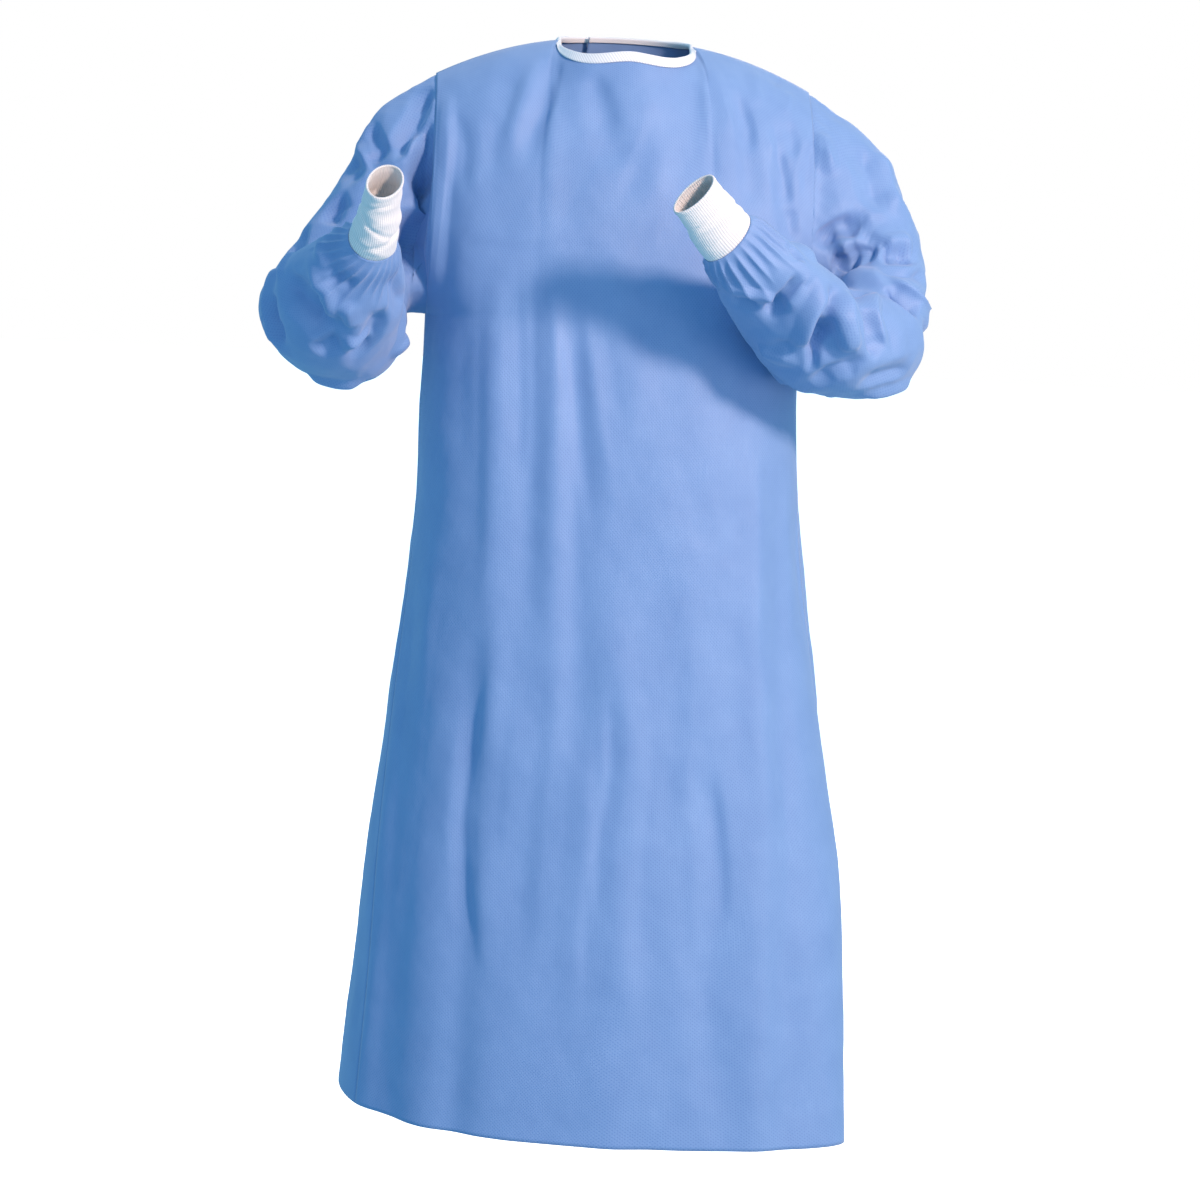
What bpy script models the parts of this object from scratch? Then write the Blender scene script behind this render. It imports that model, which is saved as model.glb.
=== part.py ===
"""Surgical gown in the shape that it has when worn, with nobody in it.

Metres, +Z up, the front faces -Y and +X is the wearer's left. The origin is the middle of the
shoulder line, where the wearer's shoulders carry the cloth. Each cut piece is one object: an open
grid moved point by point onto the garment's form, given its wall by a Solidify modifier.
"""

import math
from functools import lru_cache
from typing import NamedTuple

import bmesh
import bpy
from mathutils import Vector

RIGHT, LEFT = -1, 1  # the wearer's sides, and the sign of x
FRONT, BACK = -1, 1  # the sign of y

# Cloth walls
WALL = 0.0016  # non-woven cloth
KNIT_WALL = 0.0022  # ribbed cuff
TAPE_WALL = 0.0010  # one leg of the folded neck tape
TAB_WALL = 0.0018
SIDE_SEAM_GAP = 0.0007
SHOULDER_SEAM_GAP = 0.0010  # at the neck; the cloth turns over there, so the walls need more room
TIP_SEAM_GAP = 0.0016  # and at the shoulder's tip
ARMHOLE_GAP = 0.0009

# Neck opening and shoulders
NECK_HALF_WIDTH = 0.071
NECK_FRONT = 0.066  # from the shoulder line forward to the throat
NECK_BACK = 0.060
NECK_SIDE_RISE = 0.0105  # the neck's side points above the origin
THROAT_DROP = 0.019  # the throat below the side points
NAPE_RISE = 0.0085  # the nape above the side points
NECK_WAVE = 0.004  # the front edge lifts in its middle
NECK_SQUARE = 2.5
SHOULDER_HALF_WIDTH = 0.200
SHOULDER_DROP = 0.031
SHOULDER_BOW = 0.6
NECK_CORNER_TURN = 20  # degrees that the cloth's columns turn out at the neck's side points

# Armhole and hem
UNDERARM_DROP = 0.285
ARMHOLE_REACH = 0.098  # how far the armhole's curve swings forward and back
ARMHOLE_PULL = 3  # how fast the armhole's curve fades into the panel
HEM_DROP = 1.147
HEM_SKEW = 0.042  # the hem hangs lower on the left, per metre of width
HEM_SKEW_FROM = 0.55

# Columns and rows of the panels' grids
SHOULDER_COLUMNS = 11
NECK_COLUMNS = 6
FRONT_COLUMNS = 2 * (SHOULDER_COLUMNS + NECK_COLUMNS)
NECK_SHARE = NECK_COLUMNS / (SHOULDER_COLUMNS + NECK_COLUMNS)  # of a panel's half width
BACK_SHOULDER_COLUMNS = 8
BACK_NECK_COLUMNS = 7
BACK_COLUMNS = BACK_SHOULDER_COLUMNS + BACK_NECK_COLUMNS
SKIRT_ROWS = 18
YOKE_ROWS = 9
PANEL_ROWS = SKIRT_ROWS + YOKE_ROWS + 1  # the last one is the short row that the tape covers
EDGE_ROW = 0.07  # of the way from the underarm's level to the top edge

# Back opening: the right back panel laps over the left one
LAP_SHARE_NECK = 0.12  # each free edge past the back's middle, of a panel's half width
LAP_SHARE_HEM = 0.27
LAP_STEP = 0.0072  # the lower layer lies this far inside the upper one
LAP_BLEND = 0.20

# Neck tape and closure tab
TAPE_WIDTH_SHARE = 0.9  # of the panels' last row
TAPE_CLEARANCE = 0.0008
TAPE_SIDE_ROOM = 0.0018  # more of it at the neck's sides, where the cloth turns under the tape
SEAM_FOOT = 0.055  # the tape's foot on the shoulder seam, of a panel's half width
TAPE_ARCS = 3
TAB_HALF_LENGTH = 0.11  # along the back, of a panel's half width
TAB_LOW, TAB_HIGH = 0.80, 0.90  # of the way from the underarm's level to the top edge
TAB_STEPS = (12, 3)
TAB_CLEARANCE = 0.0012

# Sleeves and cuffs
GATHERS = 14
SLEEVE_STEPS = (2 * GATHERS, 25)
CUFF_STEPS = (2 * GATHERS, 6)
CUFF_LENGTH = 0.072
CUFF_OVERLAP = 0.008  # the cuff's base inside the sleeve's gathered end
CUFF_CLEARANCE = 0.0006
GATHER_DEPTH = 0.0016
GATHERS_FROM = 0.88  # share of the sleeve
CAP_BLEND = 0.40  # share of the sleeve over which the armhole's shape turns into a tube
CROWDED = 0.35  # m of cloth per whole sleeve; folds fade out where a bend packs its rings closer

BLUE = (0.135, 0.300, 0.680, 1.0)
WHITE = (0.82, 0.82, 0.80, 1.0)


class Section(NamedTuple):
    """A level cut through the body; its four quarters meet at the widest points of each side."""

    drop: float
    right: float  # half width towards -X
    right_y: float  # where that side is widest
    left: float
    left_y: float
    front: float
    back: float
    square_right: float  # of the front's right quarter: 2 is an ellipse, more is boxier
    square_left: float
    square_back: float
    seam_right: float  # degrees from the front's middle
    seam_left: float


SECTIONS = (
    Section(0.285, 0.203, 0.000, 0.201, 0.000, 0.128, 0.118, 2.6, 2.6, 2.4, 85, 84),
    Section(0.380, 0.204, 0.000, 0.202, 0.000, 0.140, 0.126, 2.6, 2.6, 2.4, 84, 80),
    Section(0.530, 0.207, 0.000, 0.214, -0.010, 0.150, 0.138, 2.5, 2.5, 2.4, 84, 78),
    Section(0.710, 0.226, 0.005, 0.241, -0.030, 0.158, 0.152, 2.4, 2.3, 2.3, 79, 88),
    Section(0.865, 0.243, 0.012, 0.269, -0.055, 0.164, 0.166, 2.4, 2.1, 2.2, 74, 101),
    Section(1.000, 0.253, 0.020, 0.278, -0.080, 0.170, 0.178, 2.4, 1.9, 2.1, 71, 109),
    Section(1.147, 0.266, 0.026, 0.284, -0.100, 0.176, 0.190, 2.4, 1.8, 2.1, 69, 114),
)


class Fold(NamedTuple):
    """A soft fold, straight as seen from the front; a depth below 0 sinks in."""

    name: str
    face: int
    x_top: float
    drop_top: float
    x_foot: float
    drop_foot: float
    width: float
    depth: float


BODY_FOLDS = (
    Fold("neck_pull_right", FRONT, -0.070, 0.000, -0.112, 0.135, 0.010, -0.0075),
    Fold("shoulder_pull_right", FRONT, -0.120, 0.020, -0.150, 0.150, 0.014, -0.0050),
    Fold("throat_hollow", FRONT, -0.040, 0.020, -0.008, 0.130, 0.017, -0.0070),
    Fold("throat_ridge", FRONT, 0.022, 0.030, 0.034, 0.170, 0.016, 0.0040),
    Fold("chest_hollow_left", FRONT, 0.120, 0.040, 0.134, 0.170, 0.013, -0.0070),
    Fold("armhole_hollow_left", FRONT, 0.158, 0.060, 0.172, 0.190, 0.010, -0.0080),
    Fold("armhole_hollow_right", FRONT, -0.188, 0.090, -0.192, 0.420, 0.016, -0.0060),
    Fold("long_ridge_right", FRONT, -0.128, 0.240, -0.122, 0.800, 0.018, 0.0060),
    Fold("long_hollow_right", FRONT, -0.094, 0.200, -0.088, 0.640, 0.014, -0.0075),
    Fold("long_ridge_middle", FRONT, -0.070, 0.230, -0.055, 0.640, 0.013, 0.0040),
    Fold("long_hollow_middle", FRONT, -0.052, 0.210, -0.030, 0.820, 0.018, -0.0085),
    Fold("low_ridge_middle", FRONT, 0.010, 0.520, 0.020, 1.300, 0.026, 0.0060),
    Fold("knee_hollow_right", FRONT, -0.135, 0.560, -0.150, 1.300, 0.017, -0.0080),
    Fold("low_hollow_left", FRONT, 0.104, 0.700, 0.130, 1.150, 0.020, -0.0065),
    Fold("side_ridge_left", FRONT, 0.150, 0.400, 0.185, 1.250, 0.020, 0.0060),
    Fold("side_hollow_left", FRONT, 0.172, 0.360, 0.220, 1.250, 0.018, -0.0065),
    Fold("flank_hollow_right", FRONT, -0.205, 0.500, -0.222, 1.350, 0.018, -0.0100),
    Fold("back_hollow_right", BACK, -0.120, 0.160, -0.160, 1.300, 0.030, -0.0110),
    Fold("back_ridge_right", BACK, -0.055, 0.140, -0.085, 1.300, 0.026, 0.0090),
    Fold("back_hollow_left", BACK, 0.125, 0.160, 0.185, 1.300, 0.028, -0.0110),
    Fold("back_ridge_left", BACK, 0.165, 0.220, 0.235, 1.300, 0.024, 0.0080),
)

SLEEVE_FOLDS = {
    RIGHT: (
        Fold("cuff_side_crease", FRONT, -0.270, 0.080, -0.256, 0.140, 0.010, -0.0070),
        Fold("forearm_hollow", FRONT, -0.352, 0.238, -0.280, 0.325, 0.011, -0.0110),
        Fold("forearm_ridge", FRONT, -0.332, 0.215, -0.286, 0.300, 0.009, 0.0050),
        Fold("elbow_side", FRONT, -0.364, 0.255, -0.356, 0.330, 0.010, -0.0060),
        Fold("under_cuff", FRONT, -0.306, 0.244, -0.255, 0.248, 0.009, -0.0060),
        Fold("inner_lower", FRONT, -0.280, 0.345, -0.240, 0.285, 0.011, -0.0060),
        Fold("back_elbow_high", BACK, -0.360, 0.230, -0.260, 0.200, 0.016, -0.0080),
        Fold("back_elbow_low", BACK, -0.365, 0.290, -0.250, 0.300, 0.016, -0.0080),
    ),
    LEFT: (
        Fold("cap_hollow", FRONT, 0.204, 0.070, 0.188, 0.185, 0.010, -0.0100),
        Fold("inner_elbow", FRONT, 0.180, 0.200, 0.262, 0.160, 0.010, -0.0110),
        Fold("outer_elbow", FRONT, 0.205, 0.208, 0.330, 0.196, 0.010, -0.0120),
        Fold("outer_lap", FRONT, 0.262, 0.215, 0.345, 0.270, 0.010, -0.0070),
        Fold("forearm_hollow_1", FRONT, 0.218, 0.218, 0.274, 0.312, 0.010, -0.0090),
        Fold("forearm_hollow_2", FRONT, 0.203, 0.232, 0.190, 0.312, 0.010, -0.0090),
        Fold("forearm_hollow_3", FRONT, 0.178, 0.225, 0.130, 0.280, 0.010, -0.0080),
        Fold("forearm_under", FRONT, 0.128, 0.300, 0.245, 0.306, 0.009, -0.0060),
        Fold("back_elbow_high", BACK, 0.240, 0.180, 0.330, 0.220, 0.016, -0.0080),
        Fold("back_elbow_low", BACK, 0.240, 0.270, 0.320, 0.290, 0.016, -0.0080),
    ),
}


class Station(NamedTuple):
    """A ring of a sleeve: its share of the length, its centre and its two half axes.

    The cap axis starts towards the shoulder's tip and the side axis towards the front. The ring's
    plane is the one of its two axes, so the rings of a bend turn like the pages of a book.
    """

    share: float
    x: float
    y: float
    z: float
    cap_x: float
    cap_y: float
    cap_z: float
    side_x: float
    side_y: float
    side_z: float


class SleeveForm(NamedTuple):
    """One sleeve with its cuff; the last station is the oval of the cuff's base."""

    side: int
    stations: tuple
    cuff_aim: Vector
    open_cap: float  # half sizes of the oval at the cuff's open end
    open_side: float


SLEEVES = {
    RIGHT: SleeveForm(
        RIGHT,
        (
            Station(0.00, -0.2015, 0.000, -0.1580, 0.000, 0.000, 0.127, 0.000, -0.080, 0.000),
            Station(0.12, -0.2430, -0.006, -0.1800, -0.015, -0.004, 0.107, 0.022, -0.075, 0.000),
            Station(0.26, -0.2620, -0.020, -0.2190, -0.020, -0.010, 0.089, 0.036, -0.055, 0.008),
            Station(0.48, -0.3010, -0.046, -0.2930, -0.033, -0.023, 0.060, 0.065, -0.030, 0.012),
            Station(0.58, -0.3010, -0.092, -0.2980, -0.034, -0.004, 0.060, 0.064, -0.002, 0.017),
            Station(0.70, -0.2970, -0.135, -0.2830, -0.036, 0.013, 0.054, 0.057, 0.020, 0.026),
            Station(0.86, -0.2810, -0.197, -0.2520, -0.029, 0.010, 0.043, 0.045, 0.018, 0.023),
            Station(1.00, -0.2616, -0.252, -0.2135, -0.0215, 0.000, 0.0095, 0.0078, 0.0173, 0.0177),
        ),
        Vector((0.147, -0.612, 0.776)),
        0.0165,
        0.0290,
    ),
    LEFT: SleeveForm(
        LEFT,
        (
            Station(0.00, 0.2015, 0.000, -0.1580, 0.000, 0.000, 0.127, 0.000, -0.080, 0.000),
            Station(0.14, 0.2500, -0.011, -0.1870, 0.026, -0.007, 0.099, -0.024, -0.072, 0.004),
            Station(0.30, 0.2720, -0.035, -0.2380, 0.036, -0.018, 0.075, -0.043, -0.050, 0.018),
            Station(0.46, 0.2620, -0.085, -0.2850, 0.042, -0.044, 0.048, -0.043, -0.016, 0.044),
            Station(0.56, 0.2400, -0.122, -0.2960, 0.045, -0.033, 0.038, -0.043, 0.018, 0.043),
            Station(0.69, 0.1960, -0.163, -0.2870, 0.046, -0.029, 0.037, -0.028, 0.042, 0.040),
            Station(0.86, 0.1340, -0.214, -0.2360, 0.036, -0.020, 0.028, -0.023, 0.034, 0.026),
            Station(1.00, 0.0880, -0.250, -0.1950, 0.0194, -0.0011, 0.0228, -0.0078, 0.0167, 0.0075),
        ),
        Vector((-0.564, -0.615, 0.553)),
        0.0255,
        0.0140,
    ),
}


def smooth(x):
    """0 below 0, 1 above 1, and an even S between them."""
    x = min(1.0, max(0.0, x))
    return x * x * (3 - 2 * x)


def mix(a, b, share):
    return a + (b - a) * share


def between(stops, at):
    """Straight between the stops (place, value), which are in order."""
    for (low, a), (high, b) in zip(stops, stops[1:]):
        if at <= high:
            break
    return mix(a, b, (at - low) / (high - low))


def through(rows, at):
    """The row of a table at a value of its first column, on a smooth curve through its rows."""
    key, last = rows[0]._fields[0], len(rows) - 1
    i = 0
    while i < last - 1 and at > getattr(rows[i + 1], key):
        i += 1
    before, low, high, after = (rows[max(0, min(last, i + k))] for k in (-1, 0, 1, 2))
    span = getattr(high, key) - getattr(low, key)
    t = min(1.0, max(0.0, (at - getattr(low, key)) / span))
    found = {}
    for name in rows[0]._fields:
        a, b = getattr(low, name), getattr(high, name)
        slope_a = (b - getattr(before, name)) / (getattr(high, key) - getattr(before, key))
        slope_b = (getattr(after, name) - a) / (getattr(after, key) - getattr(low, key))
        rise = 3 * t * t - 2 * t**3
        leave, arrive = t * (1 - t) ** 2, t * t * (1 - t)
        found[name] = mix(a, b, rise) + span * (leave * slope_a - arrive * slope_b)
    return found


def bezier(a, b, c, d, t):
    s = 1 - t
    return a * s**3 + b * (3 * s * s * t) + c * (3 * s * t * t) + d * t**3


def fold_offset(folds, face, point):
    """How far the folds of one face move a point outwards."""
    total = 0.0
    for fold in folds:
        if fold.face != face:
            continue
        run = Vector((fold.x_foot - fold.x_top, fold.drop_foot - fold.drop_top))
        away = Vector((point.x - fold.x_top, -point.z - fold.drop_top))
        t = away.dot(run) / run.length_squared
        beside = (away.x * run.y - away.y * run.x) / run.length
        ends = smooth(t / 0.22) * smooth((1 - t) / 0.22)
        width = fold.width * mix(0.8, 1.25, smooth(t))
        total += fold.depth * ends * math.exp(-((beside / width) ** 2))
    return total


# The body's form


class Outline:
    """The body's closed outline at one drop, measured along the cloth."""

    SAMPLES = 120

    def __init__(self, drop):
        self.row = through(SECTIONS, drop)
        self.drop = self.row["drop"]
        self.points, self.lengths = {}, {}
        for side in (RIGHT, LEFT):
            points = [self.corner(side, 180 * i / self.SAMPLES) for i in range(self.SAMPLES + 1)]
            lengths = [0.0]
            for a, b in zip(points, points[1:]):
                lengths.append(lengths[-1] + (b - a).length)
            self.points[side], self.lengths[side] = points, lengths

    def corner(self, side, angle):
        row = self.row
        half_x, middle = (row["left"], row["left_y"]) if side == LEFT else (row["right"], row["right_y"])
        across, along = math.sin(math.radians(angle)), -math.cos(math.radians(angle))
        if along < 0:
            half_y = row["front"] + middle
            power = row["square_left"] if side == LEFT else row["square_right"]
        else:
            half_y, power = row["back"] - middle, row["square_back"]
        reach = (across / half_x) ** power + (abs(along) / half_y) ** power
        reach **= -1 / power
        return Vector((side * across * reach, middle + along * reach, -self.drop))

    def seam_reach(self, side):
        """From the front's middle along the cloth to the side seam."""
        angle = self.row["seam_left"] if side == LEFT else self.row["seam_right"]
        place = angle / 180 * self.SAMPLES
        i = int(place)
        return mix(self.lengths[side][i], self.lengths[side][i + 1], place - i)

    def at(self, side, reach):
        lengths, points = self.lengths[side], self.points[side]
        i = 0
        while i < self.SAMPLES - 1 and lengths[i + 1] < reach:
            i += 1
        return points[i].lerp(points[i + 1], (reach - lengths[i]) / (lengths[i + 1] - lengths[i]))


@lru_cache(maxsize=None)
def outline(drop):
    return Outline(drop)


def skirt_point(face, share, drop):
    """A point at or below the underarm; share is -1 at the right seam and 1 at the left one."""
    side = LEFT if share > 0 else RIGHT
    ring = outline(drop)
    seam = ring.seam_reach(side)
    if face == FRONT:
        return ring.at(side, abs(share) * (seam - SIDE_SEAM_GAP / 2))
    return ring.at(side, mix(ring.lengths[side][-1], seam + SIDE_SEAM_GAP / 2, abs(share)))


def top_edge(face, share):
    """Shoulder, neckline and shoulder of a panel, from its right tip to its left one."""
    side = LEFT if share > 0 else RIGHT
    if abs(share) >= NECK_SHARE:
        t = (abs(share) - NECK_SHARE) / (1 - NECK_SHARE)
        x = mix(NECK_HALF_WIDTH, SHOULDER_HALF_WIDTH, t)
        z = mix(NECK_SIDE_RISE, -SHOULDER_DROP, t - SHOULDER_BOW * t * (1 - t))
        return Vector((side * x, face * mix(SHOULDER_SEAM_GAP, TIP_SEAM_GAP, t) / 2, z))
    q = abs(share) / NECK_SHARE
    across, along = math.sin(q * math.pi / 2), math.cos(q * math.pi / 2)
    reach = (across**NECK_SQUARE + along**NECK_SQUARE) ** (-1 / NECK_SQUARE)
    if face == FRONT:
        depth = NECK_FRONT
        lift = NECK_WAVE * math.cos(2 * math.pi * q) * (1 - q) - THROAT_DROP * math.sqrt(along)
    else:
        depth, lift = NECK_BACK, NAPE_RISE * along
    y = face * (depth * along * reach + SHOULDER_SEAM_GAP / 2)
    return Vector((side * NECK_HALF_WIDTH * across * reach, y, NECK_SIDE_RISE + lift))


def armhole_edge(face, side, t):
    """A panel's half of an armhole, from the underarm at 0 to the shoulder tip at 1."""
    low, high = skirt_point(face, side, UNDERARM_DROP), top_edge(face, side)
    swing = Vector((0, face * ARMHOLE_REACH, 0))
    low_way, high_way = swing + Vector((0, 0, 0.030)), swing * 0.86 + Vector((0, 0, -0.038))
    return bezier(low, low + low_way, high + high_way, high, t)


def yoke_column(face, share, t):
    """A column of a panel's top, as if it had no armhole."""
    low, high = skirt_point(face, share, UNDERARM_DROP), top_edge(face, share)
    steep = smooth((NECK_SHARE - abs(share)) / (0.85 * NECK_SHARE))
    beside_neck = 1 - abs(abs(share) - NECK_SHARE) / (NECK_SHARE if abs(share) < NECK_SHARE else 0.25)
    turn = math.radians(NECK_CORNER_TURN) * smooth(beside_neck)
    side = LEFT if share > 0 else RIGHT
    lean = Vector((-side * math.sin(turn), -face * math.cos(turn), mix(0.15, 2.4, steep))).normalized()
    rise = Vector((0, 0, (high.z - low.z) * 0.42))
    return bezier(low, low + rise, high - lean * mix(0.075, 0.060, steep), high, t)


def yoke_point(face, share, t):
    """A point above the underarm; t is 0 at the underarm's level and 1 at the top edge."""
    side = LEFT if share > 0 else RIGHT
    plain = yoke_column(face, share, t)
    pull = armhole_edge(face, side, t) - yoke_column(face, side, t)
    return plain + pull * abs(share) ** ARMHOLE_PULL


def outward(point):
    """Level direction away from the body's middle."""
    return Vector((point.x * 0.55, point.y, 0)).normalized()


def body_point(face, share, t, drop):
    """A point of the body's folded surface; t is above 0 only over the underarm."""
    point = yoke_point(face, share, t) if t > 0 else skirt_point(face, share, drop)
    calm = smooth((1 - abs(share)) / 0.12) * smooth((1 - t) / 0.20)
    point += outward(point) * (fold_offset(BODY_FOLDS, face, point) * calm)
    point.z -= HEM_SKEW * point.x * smooth((drop - HEM_SKEW_FROM) / (HEM_DROP - HEM_SKEW_FROM))
    return point


def height(v):
    """t and drop at a share of a panel's rows, from the hem at 0 to the top edge at 1."""
    row = v * PANEL_ROWS
    if row <= SKIRT_ROWS:
        return 0.0, mix(HEM_DROP, UNDERARM_DROP, row / SKIRT_ROWS)
    top = SKIRT_ROWS + YOKE_ROWS
    return between(((SKIRT_ROWS, 0.0), (top, 1 - EDGE_ROW), (PANEL_ROWS, 1.0)), row), UNDERARM_DROP


def front_panel(u, v):
    t, drop = height(v)
    return body_point(FRONT, mix(RIGHT, LEFT, u), t, drop)


def lap_share(t, drop):
    """Each free edge past the back's middle."""
    return mix(LAP_SHARE_NECK, LAP_SHARE_HEM, (drop - UNDERARM_DROP * t) / HEM_DROP)


def under_step(share, lap):
    """How far the lower back panel lies inside the upper one."""
    return LAP_STEP * (1 - smooth((share - lap - 0.02) / LAP_BLEND))


def back_panel(side, u, v):
    """From the side seam at u 0 to the free edge at u 1."""
    t, drop = height(v)
    lap = lap_share(t, drop)
    neck_at = BACK_SHOULDER_COLUMNS / BACK_COLUMNS
    share = between(((0.0, 1.0), (neck_at, NECK_SHARE), (1.0, -lap)), u)
    point = body_point(BACK, side * share, t, drop)
    if side == LEFT:
        point -= outward(point) * under_step(share, lap)
    return point


# The neck's tape and tab


def edge_frame(panel, u, face):
    """Point on a panel's top edge, the point at the tape's foot, and the way out of the cloth."""
    high = panel(u, 1.0)
    low = high.lerp(panel(u, 1 - 1 / PANEL_ROWS), TAPE_WIDTH_SHARE)
    ahead, behind = panel(min(1.0, u + 0.01), 1.0), panel(max(0.0, u - 0.01), 1.0)
    out = (ahead - behind).cross(high - low).normalized()
    return high, low, -out if out.dot(Vector((0, face, 0.6))) < 0 else out


def seam_foot(side):
    """The tape's foot on a shoulder seam."""
    point = top_edge(FRONT, side * (NECK_SHARE + SEAM_FOOT))
    return Vector((point.x, 0.0, point.z))


@lru_cache(maxsize=None)
def tape_frames():
    """Edge point, foot, way out and way up, from the left free edge round the front to the right."""
    frames = []
    for k in range(BACK_NECK_COLUMNS + 1):
        frames.append(edge_frame(lambda u, v: back_panel(LEFT, u, v), 1 - k / BACK_COLUMNS, BACK))
    for k in range(2 * NECK_COLUMNS + 1):
        frames.append(edge_frame(front_panel, 1 - (SHOULDER_COLUMNS + k) / FRONT_COLUMNS, FRONT))
    for k in reversed(range(BACK_NECK_COLUMNS + 1)):
        frames.append(edge_frame(lambda u, v: back_panel(RIGHT, u, v), 1 - k / BACK_COLUMNS, BACK))
    corners = (BACK_NECK_COLUMNS + 1, BACK_NECK_COLUMNS + 2 * NECK_COLUMNS + 3)
    for corner, side in zip(corners, (LEFT, RIGHT)):
        before, after = frames[corner - 1], frames[corner]
        high = (before[0] + after[0]) / 2
        frames.insert(corner, (high, seam_foot(side), (before[2] + after[2]).normalized()))
    highs, lows, outs = (list(part) for part in zip(*frames))
    for _ in range(2):
        inner = zip(outs, outs[1:], outs[2:])
        outs = [outs[0], *((a + b * 2 + c).normalized() for a, b, c in inner), outs[-1]]
    ups = []
    for i, out in enumerate(outs):
        ahead = highs[min(len(highs) - 1, i + 2)] - highs[max(0, i - 2)]
        up = ahead.cross(out).normalized()
        ups.append(-up if up.dot(highs[i] - lows[i]) < 0 else up)
    for corner in corners:
        for near in (corner - 1, corner + 1):
            outs[near], ups[near] = outs[corner], ups[corner]
    return list(zip(highs, lows, outs, ups))


def neck_tape(u, v):
    """A strip folded over the neck edge: v runs from its inner foot, over the edge, to its outer foot."""
    frames = tape_frames()
    high, low, out, up = frames[round(u * (len(frames) - 1))]
    beside = smooth((abs(high.x) / NECK_HALF_WIDTH - 0.62) / 0.25)
    radius = WALL / 2 + TAPE_CLEARANCE + TAPE_SIDE_ROOM * beside + TAPE_WALL
    middle = -out * (WALL / 2)
    step = round(v * (TAPE_ARCS + 2))
    if step == 0:
        return low + middle - out * radius
    if step == TAPE_ARCS + 2:
        return low + middle + out * radius
    turn = math.pi * (step - 1) / TAPE_ARCS
    return high + middle + (up * math.sin(turn) - out * math.cos(turn)) * radius


def neck_tab(u, v):
    """A tab on the upper back panel that reaches past its free edge onto the lower one."""
    t = mix(TAB_LOW, TAB_HIGH, v)
    lap = lap_share(t, UNDERARM_DROP)
    past = mix(TAB_HALF_LENGTH, -TAB_HALF_LENGTH, u)
    point = body_point(BACK, lap + past, t, UNDERARM_DROP)
    lift = TAB_CLEARANCE + TAB_WALL - under_step(lap + past, lap) * smooth((past - 0.012) / 0.045)
    return point + outward(point) * lift


# The sleeves' form


def armhole_loop(side, around):
    """The whole armhole, in degrees from the shoulder tip; 90 is the front."""
    around %= 360
    if around <= 180:
        return armhole_edge(FRONT, side, 1 - around / 180)
    return armhole_edge(BACK, side, around / 180 - 1)


def sleeve_ring(form, share):
    """Centre and half axes of a sleeve's ring."""
    row = through(form.stations, share)
    return tuple(Vector((row[n + "x"], row[n + "y"], row[n + "z"])) for n in ("", "cap_", "side_"))


def plain_sleeve(form, around, v):
    """Sleeve point before its folds, and the way out of its ring."""
    centre, cap, side = sleeve_ring(form, v)
    start, first_cap, first_side = sleeve_ring(form, 0.0)
    a = math.radians(around)
    seam = armhole_loop(form.side, around) - start
    tube = smooth(v / CAP_BLEND)
    along_cap = mix(seam.z / first_cap.z, math.cos(a), tube)
    along_side = mix(seam.y / first_side.y, math.sin(a), tube)
    out = cap * along_cap + side * along_side
    room = (CUFF_CLEARANCE + GATHER_DEPTH + WALL) * smooth((v - 0.85) / 0.15)
    flare = Vector((seam.x + form.side * ARMHOLE_GAP, 0, 0)) * (1 - smooth(v / 0.1))
    return centre + out + out.normalized() * room + flare, out.normalized()


def sleeve(form, u, v):
    """Sleeve point: u runs once round it, v from the armhole to the wrist."""
    around = (form.side * u * 360) % 360
    point, out = plain_sleeve(form, around, v)
    low, high = max(0.0, v - 0.04), min(1.0, v + 0.04)
    run = (plain_sleeve(form, around, high)[0] - plain_sleeve(form, around, low)[0]).length
    loose = smooth((run / (high - low) / CROWDED - 0.3) / 0.7)
    facing = smooth(abs(out.y) * 2.5) * smooth(v / 0.10) * smooth((0.97 - v) / 0.08)
    folds = fold_offset(SLEEVE_FOLDS[form.side], FRONT if out.y < 0 else BACK, point)
    pinch = smooth((v - GATHERS_FROM) / (1 - GATHERS_FROM))
    ripple = math.cos(math.radians(around) * GATHERS) * GATHER_DEPTH * pinch
    return point + out * (folds * facing * loose + ripple)


def cuff(form, u, v):
    """Cuff point: v runs from inside the sleeve's end to the open end."""
    root, cap, side = sleeve_ring(form, 1.0)
    way = cap.cross(side).normalized() * form.side
    aim = form.cuff_aim.normalized()
    run = mix(-CUFF_OVERLAP, CUFF_LENGTH, v)
    turned = smooth(max(0.0, run) / CUFF_LENGTH * 1.6)
    centre = (root + way * run).lerp(root + aim * run, turned)
    narrowed = smooth(run / CUFF_LENGTH)
    a = math.radians(form.side * u * 360)
    point = centre
    for axis, opened, share in ((cap, form.open_cap, math.cos(a)), (side, form.open_side, math.sin(a))):
        level = axis.normalized().lerp((axis - aim * axis.dot(aim)).normalized(), turned)
        point = point + level.normalized() * (mix(axis.length, opened, narrowed) * share)
    return point


# Making the pieces


def material(name, colour, roughness):
    made = bpy.data.materials.new(name)
    made.use_nodes = True
    shader = made.node_tree.nodes["Principled BSDF"]
    shader.inputs["Base Color"].default_value = colour
    shader.inputs["Roughness"].default_value = roughness
    shader.inputs["Metallic"].default_value = 0.0
    made.diffuse_color = colour
    return made


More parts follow.
